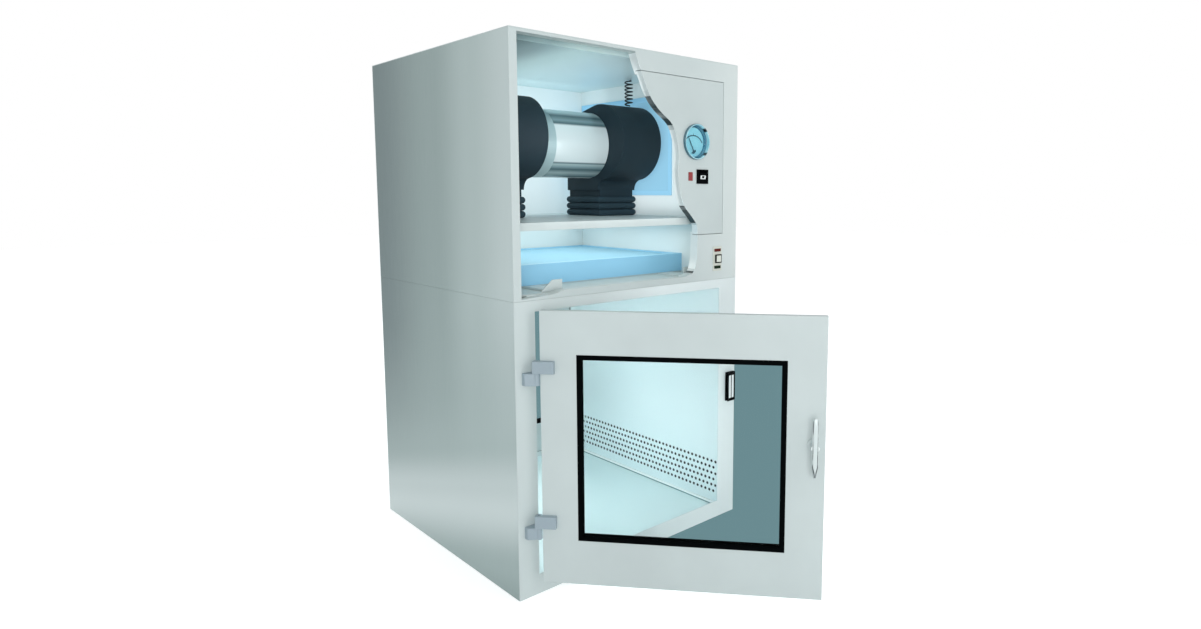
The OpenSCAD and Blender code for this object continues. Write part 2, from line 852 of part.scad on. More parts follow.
module filter_ring(z0, z1, wall) {
    open_block([filter_x[0], filter_front, z0], [filter_x[1], filter_back, z1],
               [filter_x[0] + wall, filter_front + wall, z0 - cut],
               [filter_x[1] - wall, filter_back - wall, z1 + cut]);
}

module filter_gasket() {
    color([0.2, 0.22, 0.24])
        cabinet_corner() filter_ring(deck_z, filter_z, filter_wall);
}

module filter_frame() {
    color([0.55, 0.80, 0.93])
        cabinet_corner() filter_ring(filter_z, filter_z + filter_h, filter_wall);
}

module filter_media() {
    color([0.55, 0.74, 0.82])
        cabinet_corner()
            block([filter_x[0] + filter_wall, filter_front + filter_wall, filter_z + 3],
                  [filter_x[1] - filter_wall, filter_back - filter_wall, filter_z + filter_h - 3]);
}

// Left edge of each flexible neck
function neck_x(i) = scroll_x[i] + neck_inset;

module blower_shelf() {
    color([0.74, 0.81, 0.82])
        cabinet_corner()
            difference() {
                union() {
                    block([sheet_t, shelf_front, shelf_z - sheet_t], [liner_right, inner_rear_y, shelf_z]);
                    block([sheet_t, shelf_front, shelf_z - shelf_flange],
                          [liner_right, shelf_front + sheet_t, shelf_z - sheet_t]);
                }
                for (i = [0, 1])
                    translate([neck_x(i), axis_y + neck_front, shelf_z - sheet_t - cut])
                        translate([bellows_wall, bellows_wall, 0])
                            cube([neck_w - 2 * bellows_wall, neck_d - 2 * bellows_wall, sheet_t + 2 * cut]);
            }
}

// ---------- Blower ----------

// A flat shape in the YZ plane, drawn out along +X for a width
module along_x(width) {
    rotate([90, 0, 90]) linear_extrude(width) children();
}

module rounded_rectangle(size, r) {
    for (x = [r, size[0] - r], y = [r, size[1] - r])
        translate([x, y]) circle(r = r);
    translate([r, 0]) square([size[0] - 2 * r, size[1]]);
    translate([0, r]) square([size[0], size[1] - 2 * r]);
}

module neck_bellows() {
    fold = bellows_h / bellows_folds;
    groove = 0.22 * fold;
    outer = [neck_w + 2 * fold_out, neck_d + 2 * fold_out];
    inner = [neck_w - 2 * bellows_wall, neck_d - 2 * bellows_wall];
    color([0.12, 0.17, 0.19])
        cabinet_corner()
            for (i = [0, 1])
                translate([neck_x(i), axis_y + neck_front, shelf_z])
                    difference() {
                        union() {
                            cube([neck_w, neck_d, bellows_h]);
                            for (k = [0 : bellows_folds - 1])
                                translate([-fold_out, -fold_out, k * fold + groove / 2])
                                    linear_extrude(fold - groove) rounded_rectangle(outer, fold_out);
                        }
                        translate([bellows_wall, bellows_wall, -cut])
                            cube([inner[0], inner[1], bellows_h + 2 * cut]);
                    }
}

// Outline of a scroll about the blower axis, made smaller by an inset.
// Two lobes share a straight top, and a rounded throat leads the front lobe into the neck.
module scroll_outline(inset) {
    apart = norm([lobe_front, lobe_up]);
    slope = atan2(lobe_up, -lobe_front);
    lean = acos((scroll_r - lobe_r) / apart);
    top_angle = slope - lean;
    ratio = lobe_r / (lobe_r + throat_r);
    touch = [-lobe_front + ratio * (throat_y + lobe_front), lobe_up + ratio * (throat_z - lobe_up)];
    circle(r = scroll_r - inset);
    translate([-lobe_front, lobe_up]) circle(r = lobe_r - inset);
    polygon([[0, 0], (scroll_r - inset) * [cos(top_angle), sin(top_angle)],
             [-lobe_front, lobe_up] + (lobe_r - inset) * [cos(top_angle), sin(top_angle)],
             [-lobe_front, lobe_up]]);
    translate([neck_front + inset, throat_z])
        square([neck_d - 2 * inset, -throat_z]);
    difference() {
        polygon([touch + [inset, inset], [neck_front + inset, throat_z], [0, 0], [-lobe_front, lobe_up]]);
        translate([throat_y, throat_z]) circle(r = throat_r + inset);
    }
}

module scroll(inlet_side) {
    mouth = throat_z - neck_top;
    difference() {
        union() {
            along_x(scroll_w) scroll_outline(0);
            translate([neck_inset, neck_front, neck_top]) cube([neck_w, neck_d, mouth]);
        }
        translate([scroll_wall, 0, 0]) along_x(scroll_w - 2 * scroll_wall) scroll_outline(scroll_wall);
        translate([neck_inset + scroll_wall, neck_front + scroll_wall, neck_top - cut])
            cube([neck_w - 2 * scroll_wall, neck_d - 2 * scroll_wall, mouth + 3 * cut]);
        translate([-scroll_wall - cut, 0, 0]) {
            bar_x([inlet_side * scroll_w, 0, 0], inlet_r, 2 * scroll_wall + 2 * cut);
            bar_x([(1 - inlet_side) * scroll_w, 0, 0], 3 * shaft_r, 2 * scroll_wall + 2 * cut);
        }
    }
}

module scroll_housings() {
    color([0.13, 0.19, 0.22])
        cabinet_corner()
            for (i = [0, 1])
                translate([scroll_x[i], axis_y, axis_z]) scroll(i);
}

module motor_housing() {
    color([0.80, 0.84, 0.85])
        cabinet_corner()
            translate([motor_x[0] + left_bell, axis_y, axis_z])
                difference() {
                    bar_x([0, 0, 0], motor_r, motor_len - left_bell - right_bell);
                    bar_x([-cut, 0, 0], motor_r - motor_wall, motor_len - left_bell - right_bell + 2 * cut);
                }
}

// A cup that closes the motor drum and carries a shaft bearing
module end_bell(length) {
    plate = 5;
    difference() {
        bar_x([0, 0, 0], motor_r, length);
        if (length > plate + 1)
            bar_x([plate, 0, 0], motor_r - motor_wall, length);
        bar_x([-cut, 0, 0], shaft_r + shaft_clear, length + 2 * cut);
    }
}

module motor_end_bells() {
    color([0.70, 0.76, 0.77])
        cabinet_corner() {
            translate([motor_x[0], axis_y, axis_z]) end_bell(left_bell);
            translate([motor_x[1], axis_y, axis_z]) mirror([1, 0, 0]) end_bell(right_bell);
        }
}

winding_room = 30;
stator_x = [motor_x[0] + left_bell + winding_room, motor_x[1] - right_bell - winding_room];
core_r = 50;
module motor_stator() {
    color([0.45, 0.47, 0.48])
        cabinet_corner()
            translate([stator_x[0], axis_y, axis_z])
                difference() {
                    bar_x([0, 0, 0], motor_r - motor_wall, stator_x[1] - stator_x[0]);
                    bar_x([-cut, 0, 0], core_r + air_gap, stator_x[1] - stator_x[0] + 2 * cut);
                }
}

wheel_gap = (scroll_w - wheel_w) / 2;
shaft_inset = 40;
module rotor_shaft() {
    color([0.72, 0.74, 0.75])
        cabinet_corner()
            translate([0, axis_y, axis_z]) {
                bar_x([scroll_x[0] + wheel_gap + shaft_inset, 0, 0], shaft_r,
                      scroll_x[1] - scroll_x[0] + scroll_w - 2 * (wheel_gap + shaft_inset));
                bar_x([stator_x[0], 0, 0], core_r, stator_x[1] - stator_x[0]);
            }
}

// A forward-curved wheel with its plate at x = 0
module wheel() {
    plate = 3;
    rim = 3;
    blade_depth = 14;
    blade_t = 1.5;
    difference() {
        union() {
            bar_x([0, 0, 0], wheel_r, plate);
            bar_x([0, 0, 0], 2 * shaft_r, 30);
            difference() {
                bar_x([wheel_w - rim, 0, 0], wheel_r, rim);
                bar_x([wheel_w - rim - cut, 0, 0], wheel_r - blade_depth, rim + 2 * cut);
            }
            for (k = [0 : blades - 1])
                rotate([k * 360 / blades, 0, 0]) translate([plate - 0.5, wheel_r - blade_depth + 0.5, 0])
                    rotate([25, 0, 0]) cube([wheel_w - plate - rim + 1, blade_depth - 1.5, blade_t]);
        }
        bar_x([-cut, 0, 0], shaft_r, wheel_w);
    }
}

module blower_wheels() {
    color([0.60, 0.63, 0.64])
        cabinet_corner() {
            translate([scroll_x[1] + wheel_gap, axis_y, axis_z]) wheel();
            translate([scroll_x[0] + scroll_w - wheel_gap, axis_y, axis_z]) mirror([1, 0, 0]) wheel();
        }
}

// ---------- Hanger springs ----------

spring_sides = 6;
ring_steps = 14;
spring_foot_z = axis_z + lobe_up + lobe_r;
spring_len = ceiling_z - spring_foot_z;

// Corners of the wire's outline at one step of the helix
function wire_ring(i, rings) =
    let (turn = 360 * i / ring_steps, z = wire_r + (spring_len - 2 * wire_r) * i / rings)
    [for (k = [0 : spring_sides - 1])
        let (a = 360 * k / spring_sides, r = spring_r + wire_r * cos(a))
        [r * cos(turn), r * sin(turn), z + wire_r * sin(a)]];

module coil() {
    rings = spring_turns * ring_steps;
    s = spring_sides;
    points = [for (i = [0 : rings]) each wire_ring(i, rings)];
    sides = [for (i = [0 : rings - 1], k = [0 : s - 1])
        [i * s + k, i * s + (k + 1) % s, (i + 1) * s + (k + 1) % s, (i + 1) * s + k]];
    first = [for (k = [s - 1 : -1 : 0]) k];
    last = [for (k = [0 : s - 1]) rings * s + k];
    polyhedron(points, concat(sides, [first], [last]));
}

module hanger_springs() {
    color([0.2, 0.25, 0.27])
        cabinet_corner()
            for (x = [motor_x[0] - spring_out, motor_x[1] + spring_out])
                translate([x, axis_y - spring_front, spring_foot_z]) coil();
}

module control_box() {
    front_y = inner_rear_y + liner_t;
    back_y = cabinet_d - sheet_t - box_room;
    box_low = foot_z + box_z;
    color([0.75, 0.77, 0.76])
        cabinet_corner()
            open_block([box_x, front_y, box_low], [box_x + box_w, back_y, box_low + box_h],
                       [box_x + sheet_t, front_y + sheet_t, box_low + sheet_t],
                       [box_x + box_w - sheet_t, back_y - sheet_t, box_low + box_h - sheet_t]);
}

// ---------- Pressure gauge ----------

staff_r = 1.2;
module gauge_case() {
    color([0.25, 0.48, 0.60])
        cabinet_corner()
            difference() {
                union() {
                    bar_y([gauge_x, -gauge_proud, gauge_cz], gauge_flange_r, gauge_proud);
                    bar_y([gauge_x, -cut, gauge_cz], gauge_r, fascia_t + 10 + cut);
                }
                bar_y([gauge_x, -gauge_proud - cut, gauge_cz], gauge_r - gauge_wall,
                      gauge_proud + cut + ring_y);
                bar_y([gauge_x, ring_y - cut, gauge_cz], ring_r + 1.5, cut + seat_y - ring_y);
                bar_y([gauge_x, seat_y - cut, gauge_cz], ring_r, cut + dial_y - seat_y);
                bar_y([gauge_x, dial_y - cut, gauge_cz - pivot_drop], staff_r + 0.05, 8);
            }
}

module gauge_needle() {
    color([0.20, 0.40, 0.45])
        cabinet_corner()
            translate([gauge_x, 0, gauge_cz - pivot_drop]) rotate([0, -needle_rest, 0]) {
                bar_y([0, dial_y - 2.2, 0], staff_r, 8);
                bar_y([0, dial_y - 2.2, 0], 3, 1.6);
                block([-0.8, dial_y - 2, 0], [0.8, dial_y - 1.2, needle_len - 6]);
                translate([0, dial_y - 1.2, needle_len - 6]) rotate([90, 0, 0])
                    linear_extrude(0.8) polygon([[-0.8, 0], [0.8, 0], [0, 6]]);
            }
}

module gauge_glass() {
    color([0.75, 0.93, 0.97, 0.3])
        cabinet_corner()
            bar_y([gauge_x, seat_y - glass_clear - gauge_glass_t, gauge_cz], ring_r + 1.5 - glass_clear,
                  gauge_glass_t);
}

// ---------- Controls ----------

rocker_w = 26;
rocker_h = 24;
rocker_turn = 8;
rocker_pivot_y = 7;

module switch_housing() {
    color([0.05, 0.06, 0.07])
        cabinet_corner()
            translate([switch_x, 0, switch_cz])
                difference() {
                    union() {
                        block([-switch_w / 2, -3, -switch_h / 2], [switch_w / 2, 0, switch_h / 2]);
                        block([-switch_w / 2 + 3.3, 0, -switch_h / 2 + 3.3],
                              [switch_w / 2 - 3.3, fascia_t, switch_h / 2 - 3.3]);
                    }
                    block([-rocker_w / 2 - 0.5, -3 - cut, -rocker_h / 2 - 2],
                          [rocker_w / 2 + 0.5, fascia_t - 3, rocker_h / 2 + 2]);
                    bar_x([-rocker_w / 2 - 3, rocker_pivot_y, 0], 1.5 + 0.05, rocker_w + 6);
                }
}

module switch_rocker() {
    color([0.10, 0.11, 0.12])
        cabinet_corner()
            translate([switch_x, rocker_pivot_y, switch_cz]) rotate([rocker_turn, 0, 0]) {
                block([-rocker_w / 2, -rocker_pivot_y - 4, -rocker_h / 2], [rocker_w / 2, 3, rocker_h / 2]);
                bar_x([-rocker_w / 2 - 2.5, 0, 0], 1.5, rocker_w + 5);
            }
}

// The plate is a frame around the button, with a dark surround and seats for two lenses
module indicator_plate() {
    half_w = 17;
    half_h = 33;
    surround = 3.5;
    color([0.80, 0.83, 0.81])
        cabinet_corner()
            translate([button_x, 0, button_cz])
                difference() {
                    block([-half_w, -plate_t, -half_h], [half_w, 0, half_h]);
                    block([-button_side / 2 - 0.4, -plate_t - cut, -button_side / 2 - 0.4],
                          [button_side / 2 + 0.4, cut, button_side / 2 + 0.4]);
                }
    color([0.1, 0.12, 0.1])
        cabinet_corner()
            translate([button_x, 0, button_cz])
                open_block([-button_side / 2 - surround, -plate_t - 2, -button_side / 2 - surround],
                           [button_side / 2 + surround, -plate_t, button_side / 2 + surround],
                           [-button_side / 2 - 0.4, -plate_t - 2 - cut, -button_side / 2 - 0.4],
                           [button_side / 2 + 0.4, cut, button_side / 2 + 0.4]);
}

lens_w = 25;
lens_h = 8;
lens_out = 23;
module indicator_lenses() {
    color([0.5, 0.12, 0.12])
        cabinet_corner()
            block([lamp_x - 7.5, -2, switch_cz - 11], [lamp_x + 7.5, 0, switch_cz + 11]);
    color([0.3, 0.1, 0.08])
        cabinet_corner()
            block([button_x - lens_w / 2, -plate_t - 1.5, button_cz + lens_out - lens_h / 2],
                  [button_x + lens_w / 2, -plate_t, button_cz + lens_out + lens_h / 2]);
    color([0.03, 0.15, 0.05])
        cabinet_corner()
            block([button_x - lens_w / 2, -plate_t - 1.5, button_cz - lens_out - lens_h / 2],
                  [button_x + lens_w / 2, -plate_t, button_cz - lens_out + lens_h / 2]);
}

module interlock_button() {
    cap_front = -plate_t - 3 - button_travel;
    color([0.95, 0.97, 0.95])
        cabinet_corner()
            translate([button_x, 0, button_cz]) {
                block([-button_side / 2, cap_front, -button_side / 2],
                      [button_side / 2, -button_travel - 0.3, button_side / 2]);
                bar_y([0, cap_front + 1, 0], 4 - 0.1, fascia_t - cap_front);
            }
}

// ---------- Doors, drawn closed about the hinge axis ----------

// Puts a closed door on its hinge, on the front or the rear, and swings it open
module on_hinge(side, angle) {
    mirror(side) cabinet_corner()
        translate([hinge_x, hinge_y, 0]) rotate([0, 0, -angle]) children();
}

module door_leaf() {
    x1 = leaf_x + door_w;
    slot_z = handle_z + sqrt(pow(cam_len, 2) - pow(handle_inset, 2)) + cam_w;
    difference() {
        union() {
            block([leaf_x, leaf_front, door_bottom], [x1, leaf_back, door_top]);
            bar_y([latch_x, leaf_front - 3, handle_z], 2 * spindle_r + 2, 3 + leaf_sheet);
        }
        open_block([leaf_x + leaf_sheet, leaf_front + leaf_sheet, door_bottom + leaf_sheet],
                   [x1 - leaf_sheet, leaf_back - leaf_sheet, door_top - leaf_sheet],
                   [window_x[0], leaf_front, window_z[0]], [window_x[1], leaf_back, window_z[1]]);
        block([window_x[0] + gasket_w / 2, leaf_front - cut, window_z[0] + gasket_w / 2],
              [window_x[1] - gasket_w / 2, leaf_back + cut, window_z[1] - gasket_w / 2]);
        bar_y([latch_x, leaf_front - 3 - cut, handle_z], spindle_r + spindle_clear, leaf_t);
        block([x1 - leaf_sheet - cut, cam_y - cam_clear, handle_z - cam_w],
              [x1 + cut, leaf_back - leaf_sheet, slot_z]);
    }
}

module door_glass() {
    mid = (leaf_front + leaf_back) / 2;
    inner = gasket_w / 2 + 2.5;
    block([window_x[0] + inner, mid - glass_t / 2, window_z[0] + inner],
          [window_x[1] - inner, mid + glass_t / 2, window_z[1] - inner]);
}

// The window gasket grips the leaf's edge and the glass; the seal runs round the leaf's back
module door_gaskets() {
    mid = (leaf_front + leaf_back) / 2;
    inner = gasket_w / 2;
    difference() {
        leaf_ring(window_x, window_z, gasket_w, [leaf_front - gasket_proud, leaf_back + seal_space / 2]);
        difference() {
            block([window_x[0] - cut, leaf_front, window_z[0] - cut],
                  [window_x[1] + cut, leaf_back, window_z[1] + cut]);
            block([window_x[0] + inner, leaf_front - cut, window_z[0] + inner],
                  [window_x[1] - inner, leaf_back + cut, window_z[1] - inner]);
        }
        block([window_x[0] + inner + 2.5, mid - glass_t / 2, window_z[0] + inner + 2.5],
              [window_x[1] - inner - 2.5, mid + glass_t / 2, window_z[1] - inner - 2.5]);
    }
    leaf_ring([leaf_x + 0.5, leaf_x + door_w - 0.5], [door_bottom + 0.5, door_top - 0.5], seal_w,
              [leaf_back, leaf_back + seal_space - seal_clear]);
}

// Outline of a door half seen from above, around the hinge axis
module door_half_outline() {
    circle(r = knuckle_r);
    reach = hinge_edge + door_half_reach;
    translate([-knuckle_r, -door_half_front]) square([knuckle_r + reach, door_half_front]);
    square([reach, leaf_front]);
}

module door_hinges() {
    for (z = [hinge_low_z, hinge_high_z])
        translate([0, 0, z + collar_t / 2])
            difference() {
                linear_extrude(hinge_h) door_half_outline();
                translate([0, 0, -cut]) cylinder(h = hinge_h + 2 * cut, r = pin_r + pin_clear);
            }
}

// A turn handle on a spindle that carries the latch cam inside the leaf
module latch() {
    bar_y0 = leaf_front - handle_stand - handle_t;
    round_r = handle_w / 2;
    translate([latch_x, 0, handle_z]) {
        for (end = [-1, 1])
            bar_y([0, bar_y0, end * (handle_len / 2 - round_r)], round_r, handle_t);
        block([-round_r, bar_y0, -handle_len / 2 + round_r],
              [round_r, bar_y0 + handle_t, handle_len / 2 - round_r]);
        bar_y([0, bar_y0 + 1, 0], 1.4 * spindle_r, handle_stand + handle_t - 4.3);
        bar_y([0, bar_y0 + 1, 0], spindle_r, cam_y + cam_t - bar_y0 - 1);
        difference() {
            union() {
                bar_y([0, cam_y, 0], cam_w / 2 + 2, cam_t);
                block([-cam_w / 2, cam_y, 0], [cam_w / 2, cam_y + cam_t, cam_len]);
            }
            bar_y([0, cam_y - cut, 0], spindle_r, cam_t + 2 * cut);
        }
    }
}

leaf_colour = [0.79, 0.84, 0.84];
glass_colour = [0.45, 0.62, 0.64, 0.35];
rubber_colour = [0.04, 0.05, 0.05];
hinge_colour = [0.64, 0.71, 0.75];
chrome_colour = [0.85, 0.87, 0.88];

module front_door_leaf() { color(leaf_colour) on_hinge(front, rest_angle) door_leaf(); }
module front_door_glass() { color(glass_colour) on_hinge(front, rest_angle) door_glass(); }
module front_door_gaskets() { color(rubber_colour) on_hinge(front, rest_angle) door_gaskets(); }
module front_door_hinges() { color(hinge_colour) on_hinge(front, rest_angle) door_hinges(); }
module front_latch() { color(chrome_colour) on_hinge(front, rest_angle) latch(); }
module rear_door_leaf() { color(leaf_colour) on_hinge(rear, 0) door_leaf(); }
module rear_door_glass() { color(glass_colour) on_hinge(rear, 0) door_glass(); }
module rear_door_gaskets() { color(rubber_colour) on_hinge(rear, 0) door_gaskets(); }
module rear_door_hinges() { color(hinge_colour) on_hinge(rear, 0) door_hinges(); }
module rear_latch() { color(chrome_colour) on_hinge(rear, 0) latch(); }

base_plate();
base_rails();
lower_side_panels();
front_face_frame();
rear_face_frame();
side_liners();
return_grille();
chamber_floor();
kick_strips();
ceiling_diffuser();
plenum_walls();
lamp_housing();
lamp_tube();
door_keepers();
frame_hinge_halves();
hinge_pins();
upper_side_panels();
top_cover();
upper_back_panel();
front_fascia();
access_panel();
ceiling_liner();
inner_rear_wall();
duct_wall();
prefilter_frame();
prefilter_media();
filter_deck();
filter_rails();
filter_clamps();
filter_gasket();
filter_frame();
filter_media();
blower_shelf();
neck_bellows();
scroll_housings();
motor_housing();
motor_end_bells();
motor_stator();
rotor_shaft();
blower_wheels();
hanger_springs();
control_box();
gauge_case();
gauge_needle();
gauge_glass();
switch_housing();
switch_rocker();
indicator_plate();
indicator_lenses();
interlock_button();
front_door_leaf();
front_door_glass();
front_door_gaskets();
front_door_hinges();
front_latch();
rear_door_leaf();
rear_door_glass();
rear_door_gaskets();
rear_door_hinges();
rear_latch();
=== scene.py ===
"""Dresses the sectioned cleanroom pass box around its CAD frame.

Everything is in metres, with +Z up, the front towards -Y and the origin under the middle of the base.
Sizes come from the boxes of the CAD nodes, and small trim has its own named sizes in millimetres.
"""
import json
import math

import bmesh
import bpy
import numpy as np
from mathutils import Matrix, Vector


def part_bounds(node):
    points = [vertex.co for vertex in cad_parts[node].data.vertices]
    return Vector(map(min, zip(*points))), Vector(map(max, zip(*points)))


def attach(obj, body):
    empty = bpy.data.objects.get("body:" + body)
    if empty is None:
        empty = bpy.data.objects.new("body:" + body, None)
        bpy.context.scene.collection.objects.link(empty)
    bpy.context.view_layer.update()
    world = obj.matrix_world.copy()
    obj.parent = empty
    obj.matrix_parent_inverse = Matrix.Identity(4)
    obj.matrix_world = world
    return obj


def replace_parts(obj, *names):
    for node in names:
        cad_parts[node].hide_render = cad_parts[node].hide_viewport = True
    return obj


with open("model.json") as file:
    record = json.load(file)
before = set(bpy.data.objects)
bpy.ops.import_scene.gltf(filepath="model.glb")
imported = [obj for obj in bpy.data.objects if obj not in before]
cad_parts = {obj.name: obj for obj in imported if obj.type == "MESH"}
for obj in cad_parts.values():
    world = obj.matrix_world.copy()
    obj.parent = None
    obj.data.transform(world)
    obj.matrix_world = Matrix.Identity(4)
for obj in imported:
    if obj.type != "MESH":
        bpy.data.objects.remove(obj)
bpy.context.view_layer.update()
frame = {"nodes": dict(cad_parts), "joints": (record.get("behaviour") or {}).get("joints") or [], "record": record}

MM = 0.001
NODES = frame["nodes"]
JOINTS = {joint["name"]: joint for joint in frame["joints"]}
SLOT_OF = {part["node"]: part["material_slot"] for part in frame["record"]["subparts"]}
BODY_OF = {node: body for body, nodes in frame["record"]["behaviour"]["bodies"].items() for node in nodes}
UP = np.array([0.0, 0.0, 1.0])
HALF_WIDTH = 0.36
HALF_DEPTH = 0.34
SIDES = ((-1, "left"), (1, "right"))
CORNERS = ((-1, -1), (1, -1), (1, 1), (-1, 1))


def into_scene(name, data):
    """An object in the scene for a mesh, a lamp or a camera."""
    made = bpy.data.objects.new(name, data)
    bpy.context.scene.collection.objects.link(made)
    return made


# ---- camera

# The frame, focal length and principal point of the view, in pixels
IMAGE_W = 1201
IMAGE_H = 629
FOCAL_PX = 747.8
CENTRE_PX = (656.2, 275.7)
CAMERA_AT = (-1.2205, -1.6989, 0.9086)
CAMERA_YAW = math.radians(43.23)
CAMERA_PITCH = math.radians(6.34)


def develop():
    """Colours are shown as they are written."""
    bpy.context.scene.view_settings.view_transform = "Standard"


def place_camera():
    """Puts the camera at the view's place, turned to the right of +Y and tipped down."""
    camera = bpy.data.cameras.new("view_camera")
    camera.sensor_width = 36.0
    camera.lens = FOCAL_PX / IMAGE_W * camera.sensor_width
    camera.shift_x = (IMAGE_W / 2 - CENTRE_PX[0]) / IMAGE_W
    camera.shift_y = (CENTRE_PX[1] - IMAGE_H / 2) / IMAGE_W
    camera.clip_end = 60.0
    holder = into_scene("view_camera", camera)
    holder.location = CAMERA_AT
    holder.rotation_euler = (math.pi / 2 - CAMERA_PITCH, 0.0, -CAMERA_YAW)
    bpy.context.scene.camera = holder


# ---- colours and finishes

NOISE_MIDDLE = (0.3, 0.7)


def tone(colour):
    """Linear light of a colour that is written as it shows on a screen, from 0 to 255 in three parts.
    A colour of four parts is linear already and stays."""
    if len(colour) == 4:
        return colour
    shown = np.array(colour) / 255.0
    linear = np.where(shown <= 0.04045, shown / 12.92, ((shown + 0.055) / 1.055) ** 2.4)
    return (*linear.tolist(), 1.0)


def add_node(tree, kind, inputs=(), **settings):
    """A node whose inputs are set from values, or linked from the outputs of other nodes."""
    made = tree.nodes.new(kind)
    for setting, value in settings.items():
        setattr(made, setting, value)
    for socket, value in dict(inputs).items():
        if isinstance(value, bpy.types.NodeSocket):
            tree.links.new(value, made.inputs[socket])
        else:
            made.inputs[socket].default_value = value
    return made


def mix_by(tree, share, first, second):
    """The first shader where the share is 0 and the second one where it is 1."""
    return add_node(tree, "ShaderNodeMixShader", {0: share, 1: first, 2: second}).outputs[0]


class Finish:
    """A material's node tree, with short ways to add to it."""

    def __init__(self, name, roughness, metallic=0.0, **sockets):
        self.material = bpy.data.materials.new(name)
        self.material.use_nodes = True
        self.tree = self.material.node_tree
        self.shader = self.tree.nodes["Principled BSDF"]
        self.shader.inputs["Roughness"].default_value = roughness
        self.shader.inputs["Metallic"].default_value = metallic
        for socket, value in sockets.items():
            self.shader.inputs[socket.replace("_", " ")].default_value = value
        self.place = self.node("ShaderNodeTexCoord").outputs["Object"]

    def node(self, kind, inputs=(), **settings):
        return add_node(self.tree, kind, inputs, **settings)

    def link(self, source, target):
        self.tree.links.new(source, target)

    def noise(self, scale, stretch=(1, 1, 1), detail=3.0, rough=0.55, seed=0.0):
        """Noise on the piece's own metres, drawn finer along the axes with a larger stretch."""
        place = self.node("ShaderNodeMapping", {"Vector": self.place, "Scale": stretch,
                                                "Location": (seed, seed * 0.7, seed * 1.3)})
        return self.node("ShaderNodeTexNoise", {"Vector": place.outputs[0], "Scale": scale, "Detail": detail,
                                                "Roughness": rough}).outputs["Fac"]

    def spread(self, value, low, high, new_low=0.0, new_high=1.0):
        """Carries a value from one range to another, held at its ends."""
        return self.node("ShaderNodeMapRange", enumerate((value, low, high, new_low, new_high))).outputs[0]

    def share(self, noise, most=1.0):
        """A noise's middle, where nearly all of it lies, spread from 0 to the most."""
        return self.spread(noise, *NOISE_MIDDLE, 0.0, most)

    def calc(self, first, second, operation="ADD"):
        """Works two values out by an operation; without one they are added."""
        return self.node("ShaderNodeMath", {0: first, 1: second}, operation=operation).outputs[0]

    def axis(self, axis, origin=None):
        """One coordinate of the piece's own metres, X, Y or Z, measured from an origin."""
        place = self.node("ShaderNodeSeparateXYZ", {0: self.place}).outputs[axis]
        return place if origin is None else self.calc(place, float(origin), "SUBTRACT")

    def ramp(self, value, stops, smooth=True):
        """Colours along a value from 0 to 1; stops is a list of (place, colour)."""
        made = self.node("ShaderNodeValToRGB")
        made.color_ramp.interpolation = "EASE" if smooth else "LINEAR"
        elements = made.color_ramp.elements
        while len(elements) < len(stops):
            elements.new(0.5)
        for element, (place, colour) in zip(elements, stops):
            element.position = place
            element.color = tone(colour)
        self.link(value, made.inputs[0])
        return made.outputs[0]

    def blend(self, share, first, second):
        """The first colour where the share is 0 and the second one where it is 1."""
        first, second = (tone(part) if isinstance(part, tuple) else part for part in (first, second))
        return self.node("ShaderNodeMix", {0: share, 6: first, 7: second}, data_type="RGBA").outputs[2]

    def colour(self, *parts):
        """The base colour: one socket, or a blend of two colours by a share."""
        value = self.blend(*parts) if len(parts) > 1 else parts[0]
        self.link(value, self.shader.inputs["Base Color"])

    def gloss(self, noise, middle, sway):
        """Roughness that sways with a noise about its middle."""
        value = self.spread(noise, *NOISE_MIDDLE, middle - sway, middle + sway)
        self.link(value, self.shader.inputs["Roughness"])

    def bump(self, height, distance, strength=1.0):
        """Small hills in the gloss, a distance in metres high where the height is 1."""
        made = self.node("ShaderNodeBump", {"Height": height, "Distance": distance, "Strength": strength})
        self.link(made.outputs["Normal"], self.shader.inputs["Normal"])


def shade(colour, factor):
    """A colour's linear light made stronger or weaker."""
    return tuple(min(1.0, part * factor) for part in tone(colour)[:3]) + (1.0,)


# Depth in metres and fineness of a powder coat's orange peel, and the gloss of rubber and dull plastic
PEEL_DEPTH = 0.00004
PEEL_SCALE = 700.0
DULL = 0.02


def coat_skin(finish, roughness, peel, peel_scale):
    """The skin that all coats share: uneven gloss and a fine orange peel."""
    finish.gloss(finish.noise(9.0, seed=4.0), roughness, 0.06)
    finish.bump(finish.noise(peel_scale, detail=2.0, seed=2.0), peel)


def enamel(name, colour, roughness=0.42, cloud=0.05, specular=0.5, peel=PEEL_DEPTH, peel_scale=PEEL_SCALE):
    """Powder coat or enamel with faint clouds of tone."""
    finish = Finish(name, roughness, Specular_IOR_Level=specular)
    clouds = finish.share(finish.noise(3.5, detail=4.0))
    finish.colour(clouds, shade(colour, 1 - cloud), shade(colour, 1 + cloud))
    coat_skin(finish, roughness, peel, peel_scale)
    return finish


def front_enamel_painted_sheen(name, stops):
    """The same coat on a wide front sheet, with a painted sheen: its tone drifts from the left edge to the right
    one.
    """
    finish = Finish(name, 0.42)
    across = finish.spread(finish.axis("X"), -HALF_WIDTH, HALF_WIDTH)
    body = finish.ramp(across, stops, smooth=False)
    clouds = finish.share(finish.noise(3.5, detail=4.0), 0.12)
    finish.colour(clouds, body, (225, 235, 235))
    coat_skin(finish, 0.42, PEEL_DEPTH, PEEL_SCALE)
    return finish


def metal(name, colour, roughness, grain, amount=0.06, metallic=1.0):
    """Bare metal with a drawn grain: the noise is stretched, and moves tone, gloss and height."""
    finish = Finish(name, roughness, metallic)
    lines = finish.noise(14.0, stretch=grain, detail=5.0, rough=0.7)
    finish.colour(lines, shade(colour, 1 - amount), shade(colour, 1 + amount))
    finish.gloss(lines, roughness, 0.05)
    finish.bump(lines, 0.00003, 0.5)
    return finish


